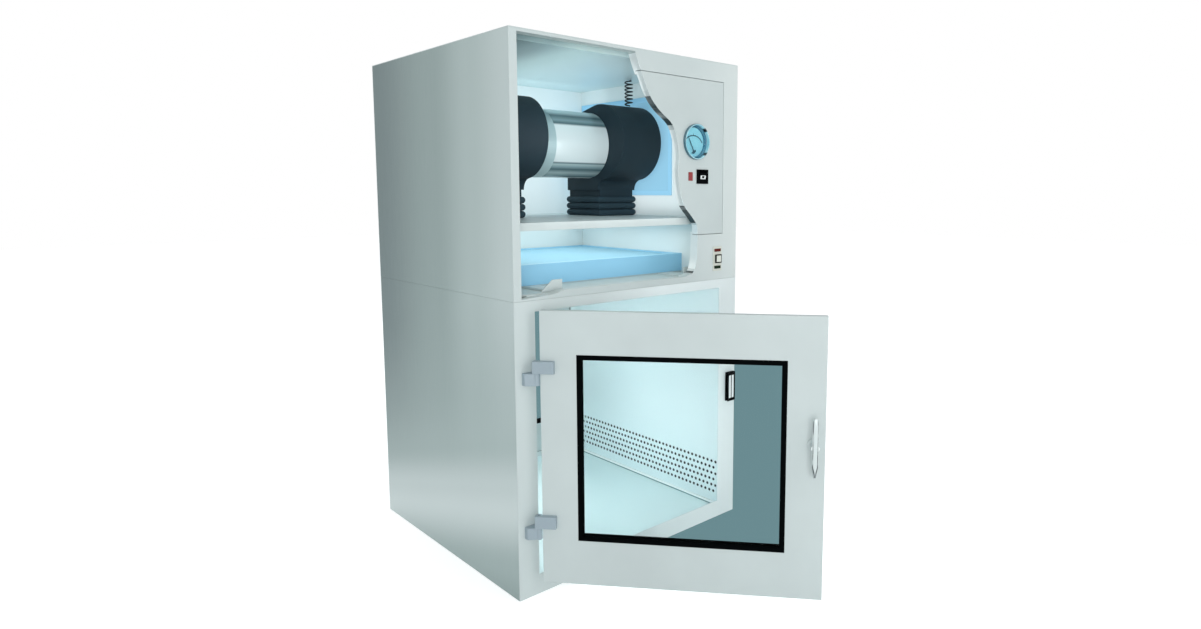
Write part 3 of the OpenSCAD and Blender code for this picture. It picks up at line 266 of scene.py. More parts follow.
def side_sheet_painted_sheen():
    """Brushed side sheet with painted reflections: bright towards the front, darker behind, and one broad pale
    painted sheen low down.
    """
    finish = Finish("side_sheet_painted_sheen", 0.42, 0.35)
    front_to_back = finish.spread(finish.axis("Y"), -HALF_DEPTH, HALF_DEPTH)
    # Painted reflection: the tone fades from bright at the front to dark behind
    upper = finish.ramp(front_to_back, [(0.0, (184, 198, 198)), (0.25, (164, 181, 180)),
                                        (0.5, (134, 153, 152)), (1.0, (88, 109, 111))])
    slant = finish.calc(finish.axis("Z"), finish.calc(finish.axis("Y"), 0.27, "MULTIPLY"))
    # Painted reflection: a broad pale band slanting low across the sheet
    painted_sheen_band = finish.ramp(finish.spread(slant, -0.1, 0.62),
                        [(0.0, (134, 153, 152)), (0.12, (150, 168, 167)), (0.3, (196, 208, 208)),
                         (0.38, (186, 199, 199)), (0.52, (152, 170, 169)), (0.75, (140, 159, 158)),
                         (1.0, (134, 153, 152))])
    low = finish.spread(slant, 0.18, 0.62, 1.0, 0.0)
    body = finish.blend(low, upper, painted_sheen_band)
    brushed = finish.noise(12.0, stretch=(70, 70, 1.2), detail=6.0, rough=0.75)
    finish.colour(finish.spread(brushed, 0.2, 0.8, 0.0, 0.14), body, (225, 235, 235))
    finish.gloss(brushed, 0.43, 0.05)
    finish.bump(brushed, 0.00002, 0.4)
    return finish


def ceiling_painted_shade_and_sheen(name, painted_shade_factor):
    """Brushed ceiling sheet with painted light: a painted shade in the left corner, one pale painted sheen band,
    then an even grey-green.
    """
    finish = Finish(name, 0.4, 0.3)
    across = finish.spread(finish.axis("X"), -HALF_WIDTH, HALF_WIDTH)
    stops = ((0.0, (104, 134, 138)), (0.16, (150, 182, 186)), (0.3, (200, 230, 230)),
             (0.5, (198, 224, 227)), (1.0, (205, 228, 231)))
    # The stops are scaled by a factor, so a darker copy of this ramp paints shade on the front lip
    body = finish.ramp(across, [(place, shade(colour, painted_shade_factor)) for place, colour in stops])
    brushed = finish.noise(12.0, stretch=(1.5, 60, 60), detail=5.0, rough=0.7)
    finish.colour(finish.spread(brushed, 0.2, 0.8, 0.0, 0.12), body, (215, 230, 230))
    finish.bump(brushed, 0.00002, 0.4)
    return finish


def drum_painted_reflections(name, bands, roughness=0.22):
    """Polished round shell with painted reflections: dark and pale reflection streaks run along it, set by the
    angle about its own axis.
    """
    finish = Finish(name, roughness, 0.15)
    axis = JOINTS["blower_spin"]["pos_m"]
    depth = finish.axis("Y", axis[1])
    up = finish.axis("Z", axis[2])
    angle = finish.calc(up, finish.calc(depth, -1.0, "MULTIPLY"), "ARCTAN2")
    # Painted reflections: colour bands set by the angle about the axis
    streaks = finish.ramp(finish.spread(angle, -math.pi / 2, math.pi / 2), bands, smooth=False)
    lines = finish.noise(20.0, stretch=(1, 40, 40), detail=4.0)
    finish.colour(finish.share(lines, 0.08), streaks, (250, 254, 255))
    finish.gloss(lines, roughness, 0.04)
    finish.bump(lines, 0.00002, 0.4)
    return finish


def drum_reflection_stops():
    """Painted reflection streaks from the drum's underside (0) past the front (0.5) to its top (1)."""
    white, pale = (228, 243, 246), (176, 202, 206)
    teal, deep = (128, 160, 167), (64, 100, 109)
    return [(0.0, white), (0.06, white), (0.075, deep), (0.1, teal), (0.17, pale), (0.22, deep), (0.25, teal),
            (0.285, pale), (0.3, deep), (0.315, white), (0.66, white), (0.68, deep), (0.72, teal),
            (0.78, deep), (0.84, pale), (1.0, white)]


def bell_reflection_stops():
    """The long end bell is a plainer grey-teal with one soft dark painted reflection streak up high."""
    plain, pale, deep = (168, 196, 201), (190, 212, 215), (110, 142, 150)
    return [(0.0, pale), (0.3, plain), (0.66, plain), (0.8, deep), (1.0, pale)]


def grip_painted_reflections(door):
    """Polished grip with painted reflections: a thin dark line down each side and a dark fork where the two meet
    near its foot.
    """
    pivot = JOINTS[door + "_handle_turn"]["pos_m"]
    _, along, _ = door_axes(door)
    finish = Finish(door + "_grip_painted_reflections", 0.34, 0.15)
    aside = finish.calc(finish.calc(finish.axis("X", pivot[0]), float(along[0]), "MULTIPLY"),
                        finish.calc(finish.axis("Y", pivot[1]), float(along[1]), "MULTIPLY"))
    up = finish.axis("Z", pivot[2] - GRIP_LENGTH / 2 * MM)
    fork_foot, fork_top, line_top = 6 * MM, 26 * MM, 34 * MM
    line_place = finish.spread(up, fork_foot, fork_top, 0.6 * MM, 4.9 * MM)
    line_width = finish.spread(up, fork_foot, line_top, 2.2 * MM, 0.8 * MM)
    off_line = finish.calc(finish.calc(aside, 0.0, "ABSOLUTE"), line_place, "SUBTRACT")
    off_line = finish.calc(off_line, 0.0, "ABSOLUTE")
    # Painted reflection: the dark side lines and their fork, broken up by a patchy noise that also varies the tone
    line = finish.spread(finish.calc(off_line, line_width, "DIVIDE"), 0.6, 1.1, 1.0, 0.0)
    patchy_tone_and_reflection = finish.noise(60.0, stretch=(1, 1, 0.6), seed=5.0)
    dark = finish.calc(line, finish.spread(patchy_tone_and_reflection, 0.4, 0.6, 0.25, 1.0), "MULTIPLY")
    above_foot = finish.spread(up, 2 * MM, 5 * MM)
    pale = finish.blend(patchy_tone_and_reflection, (196, 208, 208), (208, 218, 218))
    finish.colour(finish.calc(dark, above_foot, "MULTIPLY"), pale, (28, 44, 50))
    return finish


PLEAT_PITCH = 0.0075


def filter_paper(name, colour):
    """Pleated paper: waves across the width set the height and paint shade in the folds and light on the crests,
    with fibre noise over them.
    """
    finish = Finish(name, 0.75)
    wave = finish.calc(finish.calc(finish.axis("X"), 2 * math.pi / PLEAT_PITCH, "MULTIPLY"), 0.0, "SINE")
    fibre = finish.noise(420.0, detail=4.0)
    share = finish.spread(wave, -1.0, 1.0)
    # Painted light: the pleat wave darkens the folds and lightens the crests
    finish.colour(share, shade(colour, 0.92), shade(colour, 1.05))
    finish.bump(finish.calc(share, finish.calc(fibre, 0.12, "MULTIPLY")), 0.0012)
    return finish


def sawn_edge():
    """Bright sawn sheet edge with painted light: pale on upright stretches, greyer on flat ones, and painted shade
    streaks where the cut leans over.
    """
    finish = Finish("sawn_edge", 0.3, 0.1)
    normal = finish.node("ShaderNodeNewGeometry").outputs["True Normal"]
    lean = finish.calc(finish.node("ShaderNodeSeparateXYZ", {0: normal}).outputs["Z"], 0.0, "ABSOLUTE")
    # Painted light by the face's tilt: upright stretches pale, flat ones greyer, leaning ones darkened as painted
    # shade
    flat = finish.spread(lean, 0.85, 0.97)
    leaning = finish.spread(lean, 0.5, 0.62)
    leaning = finish.calc(leaning, finish.calc(1.0, flat, "SUBTRACT"), "MULTIPLY")
    # A stretched noise makes the painted shade streaks patchy along the cut
    marks = finish.noise(26.0, stretch=(1, 0.2, 1.6), seed=3.0)
    dark = finish.calc(leaning, finish.spread(marks, 0.3, 0.5, 0.55, 1.0), "MULTIPLY")
    pale = finish.blend(flat, (240, 248, 249), (206, 217, 217))
    finish.colour(dark, pale, (48, 62, 66))
    return finish


def pane(name, colour, ior):
    """Clear pane: bends no shadow rays, so the light comes through."""
    finish = Finish(name, 0.0, Transmission_Weight=1.0, IOR=ior)
    streaks = finish.noise(2.5, stretch=(1, 1, 0.4), detail=2.0)
    finish.colour(streaks, shade(colour, 0.985), shade(colour, 1.01))
    clear = finish.node("ShaderNodeBsdfTransparent", {"Color": tone(colour)}).outputs[0]
    shadow = finish.node("ShaderNodeLightPath").outputs["Is Shadow Ray"]
    shown = mix_by(finish.tree, shadow, finish.shader.outputs[0], clear)
    finish.link(shown, finish.tree.nodes["Material Output"].inputs["Surface"])
    return finish


TUBE_GLOW = 54.0


def lit_tube():
    """The chamber lamp's tube, which glows evenly and yellows a little at its ends."""
    finish = Finish("lit_tube", 0.3, Emission_Strength=TUBE_GLOW)
    ends = finish.spread(finish.calc(finish.axis("Y"), 0.0, "ABSOLUTE"), 0.15, 0.19)
    glow = finish.blend(ends, (240, 252, 255), (220, 215, 190))
    finish.colour(glow)
    finish.link(glow, finish.shader.inputs["Emission Color"])
    return finish


# Tone, then roughness, cloud, specular level, depth and scale of the peel where they aren't the usual ones
ENAMELS = {
    "panel_grey": ((200, 211, 211),),
    # A darker copy of panel_grey for the doors and the access panel: painted shade against the stronger light on
    # them
    "door_grey": ((192, 203, 203),),
    "deck_grey": ((194, 205, 203),),
    "pale_liner": ((228, 240, 242), 0.37, 0.03),
    "floor_pale": ((232, 249, 250), 0.37, 0.03),
    "strip_white": ((250, 253, 254), 0.37, 0.01),
    "lamp_white": ((232, 238, 238), 0.37, 0.02),
    # A near-black coat that paints the shade inside the return duct
    "duct_painted_shade": ((26, 31, 34), 0.9, 0.15, 0.5, 0.0004, 250.0),
    "hinge_grey": ((150, 166, 175), 0.38, 0.04),
    # A grey-teal that paints the shadow gap under the kick strips
    "shadow_line_grey": ((104, 140, 146), 0.7),
    "pale_gasket": ((176, 196, 204), 0.7),
    "black_seal": ((3, 5, 6), 0.8, 0.1, DULL, 0.0001, 900.0),
    "neck_rubber": ((46, 66, 76), 0.7, 0.06, 0.2, 0.0001, 600.0),
    "navy_housing": ((34, 51, 60), 0.6, 0.05, 0.2),
    "filter_blue": ((150, 210, 242), 0.5, 0.03),
    "cream_plate": ((206, 210, 200), 0.4, 0.03),
    "button_cream": ((216, 221, 210), 0.4, 0.03),
    "gauge_blue": ((52, 112, 138), 0.2, 0.06),
    "needle_dark": ((30, 84, 104), 0.4, 0.05),
    "switch_black": ((4, 6, 8), 0.6, 0.1, DULL),
    "lens_red": ((150, 38, 42), 0.2, 0.06),
    "power_lamp": ((136, 32, 36), 0.35, 0.1),
    "locked_lens": ((92, 34, 28), 0.5, 0.1, 0.1),
    "ready_lens": ((6, 34, 12), 0.5, 0.1, 0.1),
}
FINISHES = {name: enamel(name, *look) for name, look in ENAMELS.items()}
FINISHES.update({
    "satin_steel": side_sheet_painted_sheen(),
    # Painted sheen: the fascia brightens towards its right edge
    "fascia_grey": front_enamel_painted_sheen("fascia_grey", [(0.0, (192, 203, 203)), (0.75, (192, 203, 203)),
                                                (1.0, (208, 217, 216))]),
    # Painted light: the face frame is brightest right of its middle, lifting the stretch that lies in the door's
    # shadow
    "frame_grey": front_enamel_painted_sheen("frame_grey", [(0.0, (196, 207, 207)), (0.3, (204, 214, 214)),
                                              (0.6, (231, 241, 242)), (1.0, (220, 230, 231))]),
    "inner_grey": ceiling_painted_shade_and_sheen("ceiling_painted_shade_and_sheen", 1.0),
    # The front lip is a darker copy of the ceiling: painted shade
    "shaded_ceiling_lip": ceiling_painted_shade_and_sheen("shaded_ceiling_lip", 0.7),
    "zinc_sheet": metal("zinc_sheet", (168, 176, 178), 0.45, (5, 5, 5), 0.12),
    "bright_steel": metal("bright_steel", (196, 202, 204), 0.22, (90, 3, 3)),
    "chrome": metal("chrome", (228, 234, 235), 0.07, (3, 3, 60), 0.02),
    "spring_dark": metal("spring_dark", (26, 36, 42), 0.45, (20, 20, 20), metallic=0.3),
    "motor_pale": drum_painted_reflections("motor_pale", drum_reflection_stops()),
    "bell_pale": drum_painted_reflections("bell_pale", bell_reflection_stops(), 0.34),
    "filter_sheet": filter_paper("filter_sheet", (150, 206, 234)),
    "door_glass": pane("door_glass", (250, 253, 253), 1.1),
    "clear_glass": pane("clear_glass", (245, 252, 253), 1.2),
    "lit_tube": lit_tube(),
    "sawn_edge": sawn_edge(),
})


# ---- surfaces

def coat(finish, slot):
    """The material of a finish, of a named one, or of the slot's own."""
    return (finish if isinstance(finish, Finish) else FINISHES[finish or slot]).material


def make_piece(name, mesh, built, body, slot, finish, smooth_below):
    """Hangs a worked mesh on a body as one piece, smooth except where it bends by more than an angle."""
    built.to_mesh(mesh)
    built.free()
    for layer in [a.name for a in mesh.attributes if "normal" in a.name.lower()]:
        mesh.attributes.remove(mesh.attributes[layer])
    mesh.shade_smooth()
    mesh.set_sharp_from_angle(angle=math.radians(smooth_below))
    mesh.materials.clear()
    mesh.materials.append(coat(finish, slot))
    piece = into_scene(name, mesh)
    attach(piece, body)
    return piece


def add_piece(name, points, faces, body, slot, finish=None, smooth_below=35.0):
    """One piece from points and faces, with its faces turned outwards."""
    mesh = bpy.data.meshes.new(name)
    points = np.asarray(points, float).reshape(-1, 3)
    mesh.from_pydata(points.tolist(), [], [list(map(int, face)) for face in faces])
    built = bmesh.new()
    built.from_mesh(mesh)
    bmesh.ops.remove_doubles(built, verts=built.verts, dist=1e-7)
    bmesh.ops.recalc_face_normals(built, faces=built.faces)
    return make_piece(name, mesh, built, body, slot, finish, smooth_below)


def grid_faces(rows, columns, wrap_rows=False, wrap_columns=False):
    """Quads between neighbouring points of a rows x columns grid, closed round where asked."""
    row = np.arange(rows if wrap_rows else rows - 1)[:, None]
    column = np.arange(columns if wrap_columns else columns - 1)[None, :]
    next_row = (row + 1) % rows
    next_column = (column + 1) % columns
    quads = np.stack([row * columns + column, row * columns + next_column,
                      next_row * columns + next_column, next_row * columns + column], axis=-1)
    return quads.reshape(-1, 4).tolist()


def capped_tube_faces(rows, columns):
    """Faces of a tube of rings with a fan of triangles at each end, whose middles are the last two points."""
    last, middle = (rows - 1) * columns, rows * columns
    faces = grid_faces(rows, columns, False, True)
    for k in range(columns):
        beside = (k + 1) % columns
        faces += [(k, beside, middle), (last + beside, last + k, middle + 1)]
    return faces


def prism_faces(count):
    """Faces of a flat plate with one outline twice, at its near and its far side."""
    faces = [(k, (k + 1) % count, count + (k + 1) % count, count + k) for k in range(count)]
    return faces + [tuple(range(count))[::-1], tuple(range(count, 2 * count))]


def mark_faces(piece, finish, wanted):
    """Gives the faces for which wanted is true a second finish."""
    piece.data.materials.append(FINISHES[finish].material)
    for face in piece.data.polygons:
        face.material_index = int(wanted(face))


def turned_piece(name, profile, centre, axis, body, slot, finish=None, steps=96, closed=False):
    """A profile of (radius, height) pairs turned round an axis: centre + h * axis + r * (cos, sin).
    An open profile starts and ends on the axis; a closed one goes round a wall."""
    axis = np.asarray(axis, float) / np.linalg.norm(axis)
    side = np.cross(axis, UP if abs(axis[2]) < 0.9 else [1.0, 0.0, 0.0])
    side /= np.linalg.norm(side)
    other = np.cross(axis, side)
    angle = np.linspace(0, 2 * np.pi, steps, endpoint=False)[:, None]
    ring = np.cos(angle) * side + np.sin(angle) * other
    profile = np.asarray(profile, float) * MM
    points = np.asarray(centre) + profile[:, None, 1:2] * axis + profile[:, None, 0:1] * ring[None]
    return add_piece(name, points, grid_faces(len(profile), steps, closed, True), body, slot, finish)


def rounded_profile(width, height, radius, steps=5):
    """A rounded rectangle round the origin as (n, 2): quarter circles about its four inner corners."""
    inner = np.array([width / 2 - radius, height / 2 - radius])
    quarters = []
    for k, sign in enumerate(((1, 1), (-1, 1), (-1, -1), (1, -1))):
        turn = np.linspace(k, k + 1, steps) * np.pi / 2
        quarters.append(inner * sign + radius * np.stack([np.cos(turn), np.sin(turn)], axis=-1))
    return np.concatenate(quarters)


def ring_piece(name, profile, low, high, body, slot, place=None):
    """Carries a profile of (outward, depth) pairs round a rectangle, with mitred corners.
    A corner's points go out along both sides by the same width, so each side keeps its section."""
    profile = np.asarray(profile, float)
    out = np.array(CORNERS)
    flat = np.where(out > 0, high, low)[:, None, :] + out[:, None, :] * profile[None, :, 0:1]
    points = np.insert(flat, 1, profile[:, 1], axis=2)
    points = points if place is None else place(points)
    return add_piece(name, points, grid_faces(4, len(profile), True, True), body, slot)


def block_piece(name, low, high, body, slot, finish=None, edge=0.4, place=None, segments=3):
    """A block between two corners in millimetres with rounded edges; place carries its points elsewhere."""
    low, high = np.asarray(low, float) * MM, np.asarray(high, float) * MM
    pick = np.array([[i & 1, i >> 1 & 1, i >> 2 & 1] for i in range(8)])
    points = np.where(pick == 1, high, low)
    if place is not None:
        points = place(points)
    faces = [(0, 2, 3, 1), (4, 5, 7, 6), (0, 1, 5, 4), (2, 6, 7, 3), (0, 4, 6, 2), (1, 3, 7, 5)]
    piece = add_piece(name, points, faces, body, slot, finish)
    round_edges(piece, edge, segments)
    return piece


def round_edges(piece, width, segments=3):
    """Rounds every edge that bends by more than 40 degrees, by a width in millimetres."""
    bevel = piece.modifiers.new("rounded_edges", "BEVEL")
    bevel.width = width * MM
    bevel.segments = segments
    bevel.limit_method = "ANGLE"
    bevel.angle_limit = math.radians(40)
    bevel.harden_normals = True


def merged_copy(node, width, segments, finish=None):
    """A merged copy of a CAD node with rounded edges that stands for the node."""
    mesh = NODES[node].data.copy()
    built = bmesh.new()
    built.from_mesh(mesh)
    bmesh.ops.remove_doubles(built, verts=built.verts, dist=2e-6)
    bmesh.ops.dissolve_limit(built, angle_limit=math.radians(0.5), verts=built.verts, edges=built.edges)
    piece = make_piece(node + "_finished", mesh, built, BODY_OF[node], SLOT_OF[node], finish, 30.0)
    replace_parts(piece, node)
    if width:
        round_edges(piece, width, segments)
    return piece


def node_points(node):
    """All the points of a CAD node, in metres."""
    points = np.empty(len(NODES[node].data.vertices) * 3, np.float32)
    NODES[node].data.vertices.foreach_get("co", points)
    return points.reshape(-1, 3).astype(float)


def part_box(node, axis, side):
    """Box of a node's points on one side of zero along an axis, for a node that is a pair."""
    points = node_points(node)
    points = points[points[:, axis] * side > 0]
    return np.array([points.min(0), points.max(0)])


# ---- room

BEYOND_GLASS = tone((108, 140, 146))
WHITE = (1.0, 1.0, 1.0, 1.0)
WORLD_TINT = (0.96, 0.99, 1.0, 1.0)
WORLD_LEVEL = 0.62
PLAIN_LIGHT = (1.0, 1.0, 1.0)
WARM_FILL = (1.0, 0.9, 0.78)
LAMP_SIDE = 2.4
LAMPS_AIM = Vector((0.0, 0.0, 0.7))
FLOOR_HALF = 14.0
FLOOR_TONE = (0.86, 0.87, 0.87, 1.0)
FLOOR_LIFT = 0.5


def colour_shader(tree, kind, colour, strength=1.0):
    """A background or emission of one colour."""
    return add_node(tree, kind, {"Color": colour, "Strength": strength}).outputs[0]


def show_room(tree, kind, lighting, seen_as, output):
    """One shader lights things, another is seen straight or in a gloss, and a pane shows a darker tone."""
    path = add_node(tree, "ShaderNodeLightPath").outputs
    seen = add_node(tree, "ShaderNodeMath", {0: path["Is Camera Ray"], 1: path["Is Glossy Ray"]},
                    operation="MAXIMUM").outputs[0]
    beyond = colour_shader(tree, kind, BEYOND_GLASS)
    shown = mix_by(tree, path["Is Transmission Ray"], mix_by(tree, seen, lighting, seen_as), beyond)
    tree.links.new(shown, tree.nodes[output].inputs["Surface"])


def light_world():
    """Even light from all round, which shows as white."""
    world = bpy.data.worlds.new("pale_room")
    bpy.context.scene.world = world
    world.use_nodes = True
    tree, kind = world.node_tree, "ShaderNodeBackground"
    show_room(tree, kind, colour_shader(tree, kind, WORLD_TINT, WORLD_LEVEL),
              colour_shader(tree, kind, WHITE), "World Output")


def hang_lamp(name, place, ahead, size, power, colour=PLAIN_LIGHT):
    """A soft flat lamp that shines ahead and isn't seen itself."""
    lamp = bpy.data.lights.new(name, "AREA")
    lamp.shape = "RECTANGLE"
    lamp.size, lamp.size_y = size
    lamp.energy = power
    lamp.color = colour
    holder = into_scene(name, lamp)
    holder.location = place
    holder.rotation_euler = Vector(ahead).to_track_quat("-Z", "Y").to_euler()
    holder.visible_camera = False


def hang_lamps():
    """Three large soft lamps round the cabinet, and small fills that carry light into its open section."""
    for name, place, power in (("key_lamp", (-2.8, -3.8, 1.1), 76.0), ("front_lamp", (1.2, -3.4, 1.1), 18.0),
                               ("back_lamp", (1.6, 3.0, 2.8), 40.0)):
        hang_lamp(name, place, LAMPS_AIM - Vector(place), (LAMP_SIDE, LAMP_SIDE), power)
    low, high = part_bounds("scroll_housings")
    front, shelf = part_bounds("front_fascia")[0].y + 12 * MM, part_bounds("blower_shelf")[0].z - 4 * MM
    x, z = (low.x + high.x) / 2, (low.z + high.z) / 2
    hang_lamp("fan_front_fill", (x, front, z), (0, 1, 0), (0.5, 0.36), 0.36)
    hang_lamp("fan_rear_fill", (x, high.y + 10 * MM, z), (0, 1, 0), (0.5, 0.3), 0.47)
    hang_lamp("fan_side_fill", (high.x + 6 * MM, 0.0, z - 0.02), (1, 0, 0), (0.5, 0.3), 0.29)
    hang_lamp("fan_top_fill", (x + 0.1, 0.0, high.z + 8 * MM), (0, 0, 1), (0.4, 0.5), 0.2)
    hang_lamp("filter_fill", (x, 0.0, shelf), (0, 0, -1), (0.5, 0.5), 0.95, WARM_FILL)


def lay_floor():
    """A pale matt floor that keeps the shadow, lifted towards white where it is seen."""
    mesh = bpy.data.meshes.new("floor")
    corners = [(x * FLOOR_HALF, y * FLOOR_HALF, 0) for x, y in CORNERS]
    mesh.from_pydata(corners, [], [(0, 1, 2, 3)])
    floor = into_scene("floor", mesh)
    finish = Finish("pale_floor", 0.9, Base_Color=FLOOR_TONE, Specular_IOR_Level=0.1)
    tree, kind, matt = finish.tree, "ShaderNodeEmission", finish.shader.outputs[0]
    lift = colour_shader(tree, kind, WHITE, FLOOR_LIFT)
    lifted = add_node(tree, "ShaderNodeAddShader", {0: matt, 1: lift}).outputs[0]
    show_room(tree, kind, matt, lifted, "Material Output")
    mesh.materials.append(finish.material)


# ---- sheet metal

# Nodes with rounded edges: width in mm, steps of the rounding, and the finish where it isn't the slot's own
ROUNDED = {
    ("lower_side_panels", "upper_side_panels"): (0.1, 2),
    ("rear_face_frame", "upper_back_panel", "top_cover", "blower_shelf"): (0.7, 2),
    ("front_door_leaf", "rear_door_leaf"): (1.2, 3, "door_grey"),
    ("front_face_frame",): (0.7, 2, "frame_grey"),
    ("return_grille",): (0.0, 2),
    ("frame_hinge_halves", "front_door_hinges", "rear_door_hinges"): (1.0, 3),
    ("filter_clamps", "lamp_housing", "prefilter_frame", "filter_frame"): (0.8, 2),
    ("kick_strips",): (0.8, 2, "strip_white"),
    ("filter_rails",): (0.8, 2, "deck_grey"),
    ("door_keepers", "switch_housing"): (0.7, 2),
    ("indicator_plate",): (0.7, 2, "cream_plate"),
    ("scroll_housings",): (2.0, 3),
    ("ceiling_liner",): (0.3, 2),
    ("front_fascia",): (0.9, 2, "fascia_grey"),
    ("access_panel",): (0.9, 2, "door_grey"),
    ("motor_housing", "motor_end_bells"): (0.4, 2),
    ("switch_rocker",): (1.2, 3),
    ("interlock_button",): (1.0, 3, "button_cream"),
}
BEAD_CLEAR = 0.1
BEAD_INSET = 0.3


def dress_sheets():
    """Rounds the folded edges, and marks the faces that have a finish of their own."""
    made = {node: merged_copy(node, *look) for nodes, look in ROUNDED.items() for node in nodes}
    for node in ("lower_side_panels", "upper_side_panels"):
        # Painted shade: the inside of the right side sheets and the walls of the grille's holes take the dark duct
        # coat
        mark_faces(made[node], "duct_painted_shade", lambda face: face.normal.x < -0.9 and face.center.x > 0.3)
    mark_faces(made["return_grille"], "duct_painted_shade", lambda face: abs(face.normal.x) < 0.5)
    # The ceiling's front lip takes the darker copy, as painted shade
    mark_faces(made["ceiling_liner"], "shaded_ceiling_lip", lambda face: face.normal.y < -0.9)
    # The long end bell gets its own painted reflection streaks
    mark_faces(made["motor_end_bells"], "bell_pale", lambda face: face.center.x < 0)
    is_sawn = sawn_test()
    for node in ("front_fascia", "access_panel"):
        mark_faces(made[node], "sawn_edge", is_sawn)
        made[node].modifiers["rounded_edges"].material = -1
    floor_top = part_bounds("chamber_floor")[1].z / MM
    # A grey bead under each kick strip stands for the shadow gap there: painted shade
    for side, name in SIDES:
        low, high = part_box("kick_strips", 0, side) / MM
        block_piece("floor_shadow_bead_" + name, (low[0] + BEAD_INSET, low[1] + 1, floor_top + BEAD_CLEAR),
                    (high[0] - BEAD_INSET, high[1] - 1, low[2] - BEAD_CLEAR), "cabinet", "black_seal",
                    "shadow_line_grey")


def sawn_test():
    """Tells the faces made by the saw: upright to the front, inside the stile and the top, and off square."""
    stile_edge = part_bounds("front_fascia")[0].x + 21 * MM
    top_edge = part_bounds("front_fascia")[1].z - 12 * MM
    right_edge, low_stretch, low_right = 0.23, 0.7, 0.17

    def is_sawn(face):
        normal, centre = face.normal, face.center
        upright = abs(normal.y) < 0.2 and stile_edge < centre.x < right_edge and centre.z < top_edge
        return upright and (centre.z > low_stretch and abs(normal.z) < 0.97 or centre.x > low_right)

    return is_sawn


# ---- doors

# In millimetres: the ring round the handle's spindle, the window gasket, and the seal round the leaf's back
ROSE_PROUD = 3.0
GASKET_W = 11.0
GASKET_REACH = 8.0
GASKET_PROUD = {"outer": 1.5, "inner": 0.99}
PANE_HALF = 3.2
SEAL_W = 5.0
SEAL_T = 1.6
SEAL_INSET = 0.5
SEAL_CLEAR = 0.05


def door_axes(door):
    """Hinge point, direction from the hinge to the free edge, and direction into the chamber."""
    hinge = np.array(JOINTS[door + "_door_hinge"]["pos_m"], float)
    hinge[2] = 0.0
    turn = np.array(JOINTS[door + "_handle_turn"]["axis"], float)
    inward = turn if door == "front" else -turn
    along = np.array([inward[1], -inward[0], 0.0]) if door == "front" else np.array([1.0, 0.0, 0.0])
    return hinge, along, inward


def door_place(door, origin=None):
    """Carries points from a door's own place (along, inward, up) to where the door stands."""
    hinge, along, inward = door_axes(door)
    origin = hinge if origin is None else origin

    def place(points):
        points = np.asarray(points, float)
        return origin + points[..., 0:1] * along + points[..., 1:2] * inward + points[..., 2:3] * UP

    return place


def door_sizes():
    """Corners of the closed leaf and of its pane as (along, inward, up) from the hinge, in metres."""
    hinge = JOINTS["rear_door_hinge"]["pos_m"]
    return [np.sort([(p[0] - hinge[0], hinge[1] - p[1], p[2]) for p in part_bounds(node)], axis=0)
            for node in ("rear_door_leaf", "rear_door_glass")]


def dress_door(door):
    """Window gasket on both faces and a bulb seal round the back. The gasket's crown stands out by
    (1 - (2u - 1)^4)^0.5 of its height, with u running from 0 to 1 across its width."""
    place = door_place(door)
    leaf, pane = door_sizes()
    body = door + "_door"
    front, back = leaf[0][1] + ROSE_PROUD * MM, leaf[1][1]
    low, high = pane[0][[0, 2]] - GASKET_REACH * MM, pane[1][[0, 2]] + GASKET_REACH * MM
    width = GASKET_W * MM
    across = np.linspace(0, 1, 9)
    crown = np.sqrt(np.clip(1 - (2 * across - 1) ** 4, 0, 1)) * MM
    pieces = []
    for side, face, out in (("outer", front, -1.0), ("inner", back, 1.0)):
        lip = (front + back) / 2 + out * PANE_HALF * MM
        profile = list(zip(-width * across, face + out * GASKET_PROUD[side] * crown))
        profile += [(-width, lip), (-0.75 * width, lip), (-0.5 * width, face - out * 1.0 * MM),
                    (0.0, face - out * 0.2 * MM)]
        pieces.append(ring_piece(f"{door}_window_gasket_{side}", profile, low, high, body, "black_seal",
                                 place))
    bulb = rounded_profile(SEAL_W * MM, SEAL_T * MM, 0.7 * MM)
    bulb += [-(SEAL_W / 2 + SEAL_INSET) * MM, back + (SEAL_T / 2 + SEAL_CLEAR) * MM]
    pieces.append(ring_piece(door + "_edge_seal", bulb, leaf[0][[0, 2]], leaf[1][[0, 2]], body,
                             "black_seal", place))
    for piece in pieces:
        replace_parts(piece, door + "_door_gaskets")


# In millimetres, measured from the pivot into the chamber; profiles are (radius, depth) pairs
LEAF_FACE = 2.0
GRIP_LENGTH = 131.0
GRIP_WIDTH = 14.0
GRIP_THICK = 8.0
GRIP_STAND = 22.0
GRIP_FRONT = LEAF_FACE - GRIP_STAND - GRIP_THICK
NECK = [(0.01, -26), (8.4, -26), (8.4, -20), (7.2, -17), (6.6, -10), (7.4, -4), (8.4, -1.4), (0.01, -1.4)]
SPINDLE = [(0.01, -4), (6.0, -4), (6.0, 17.5), (5.4, 18.2), (0.01, 18.2)]
CAM_FACES = (14.7, 17.7)
CAM_REACH = 56.0
CAM_HUB_R = 8.0
CAM_TIP_R = 6.0


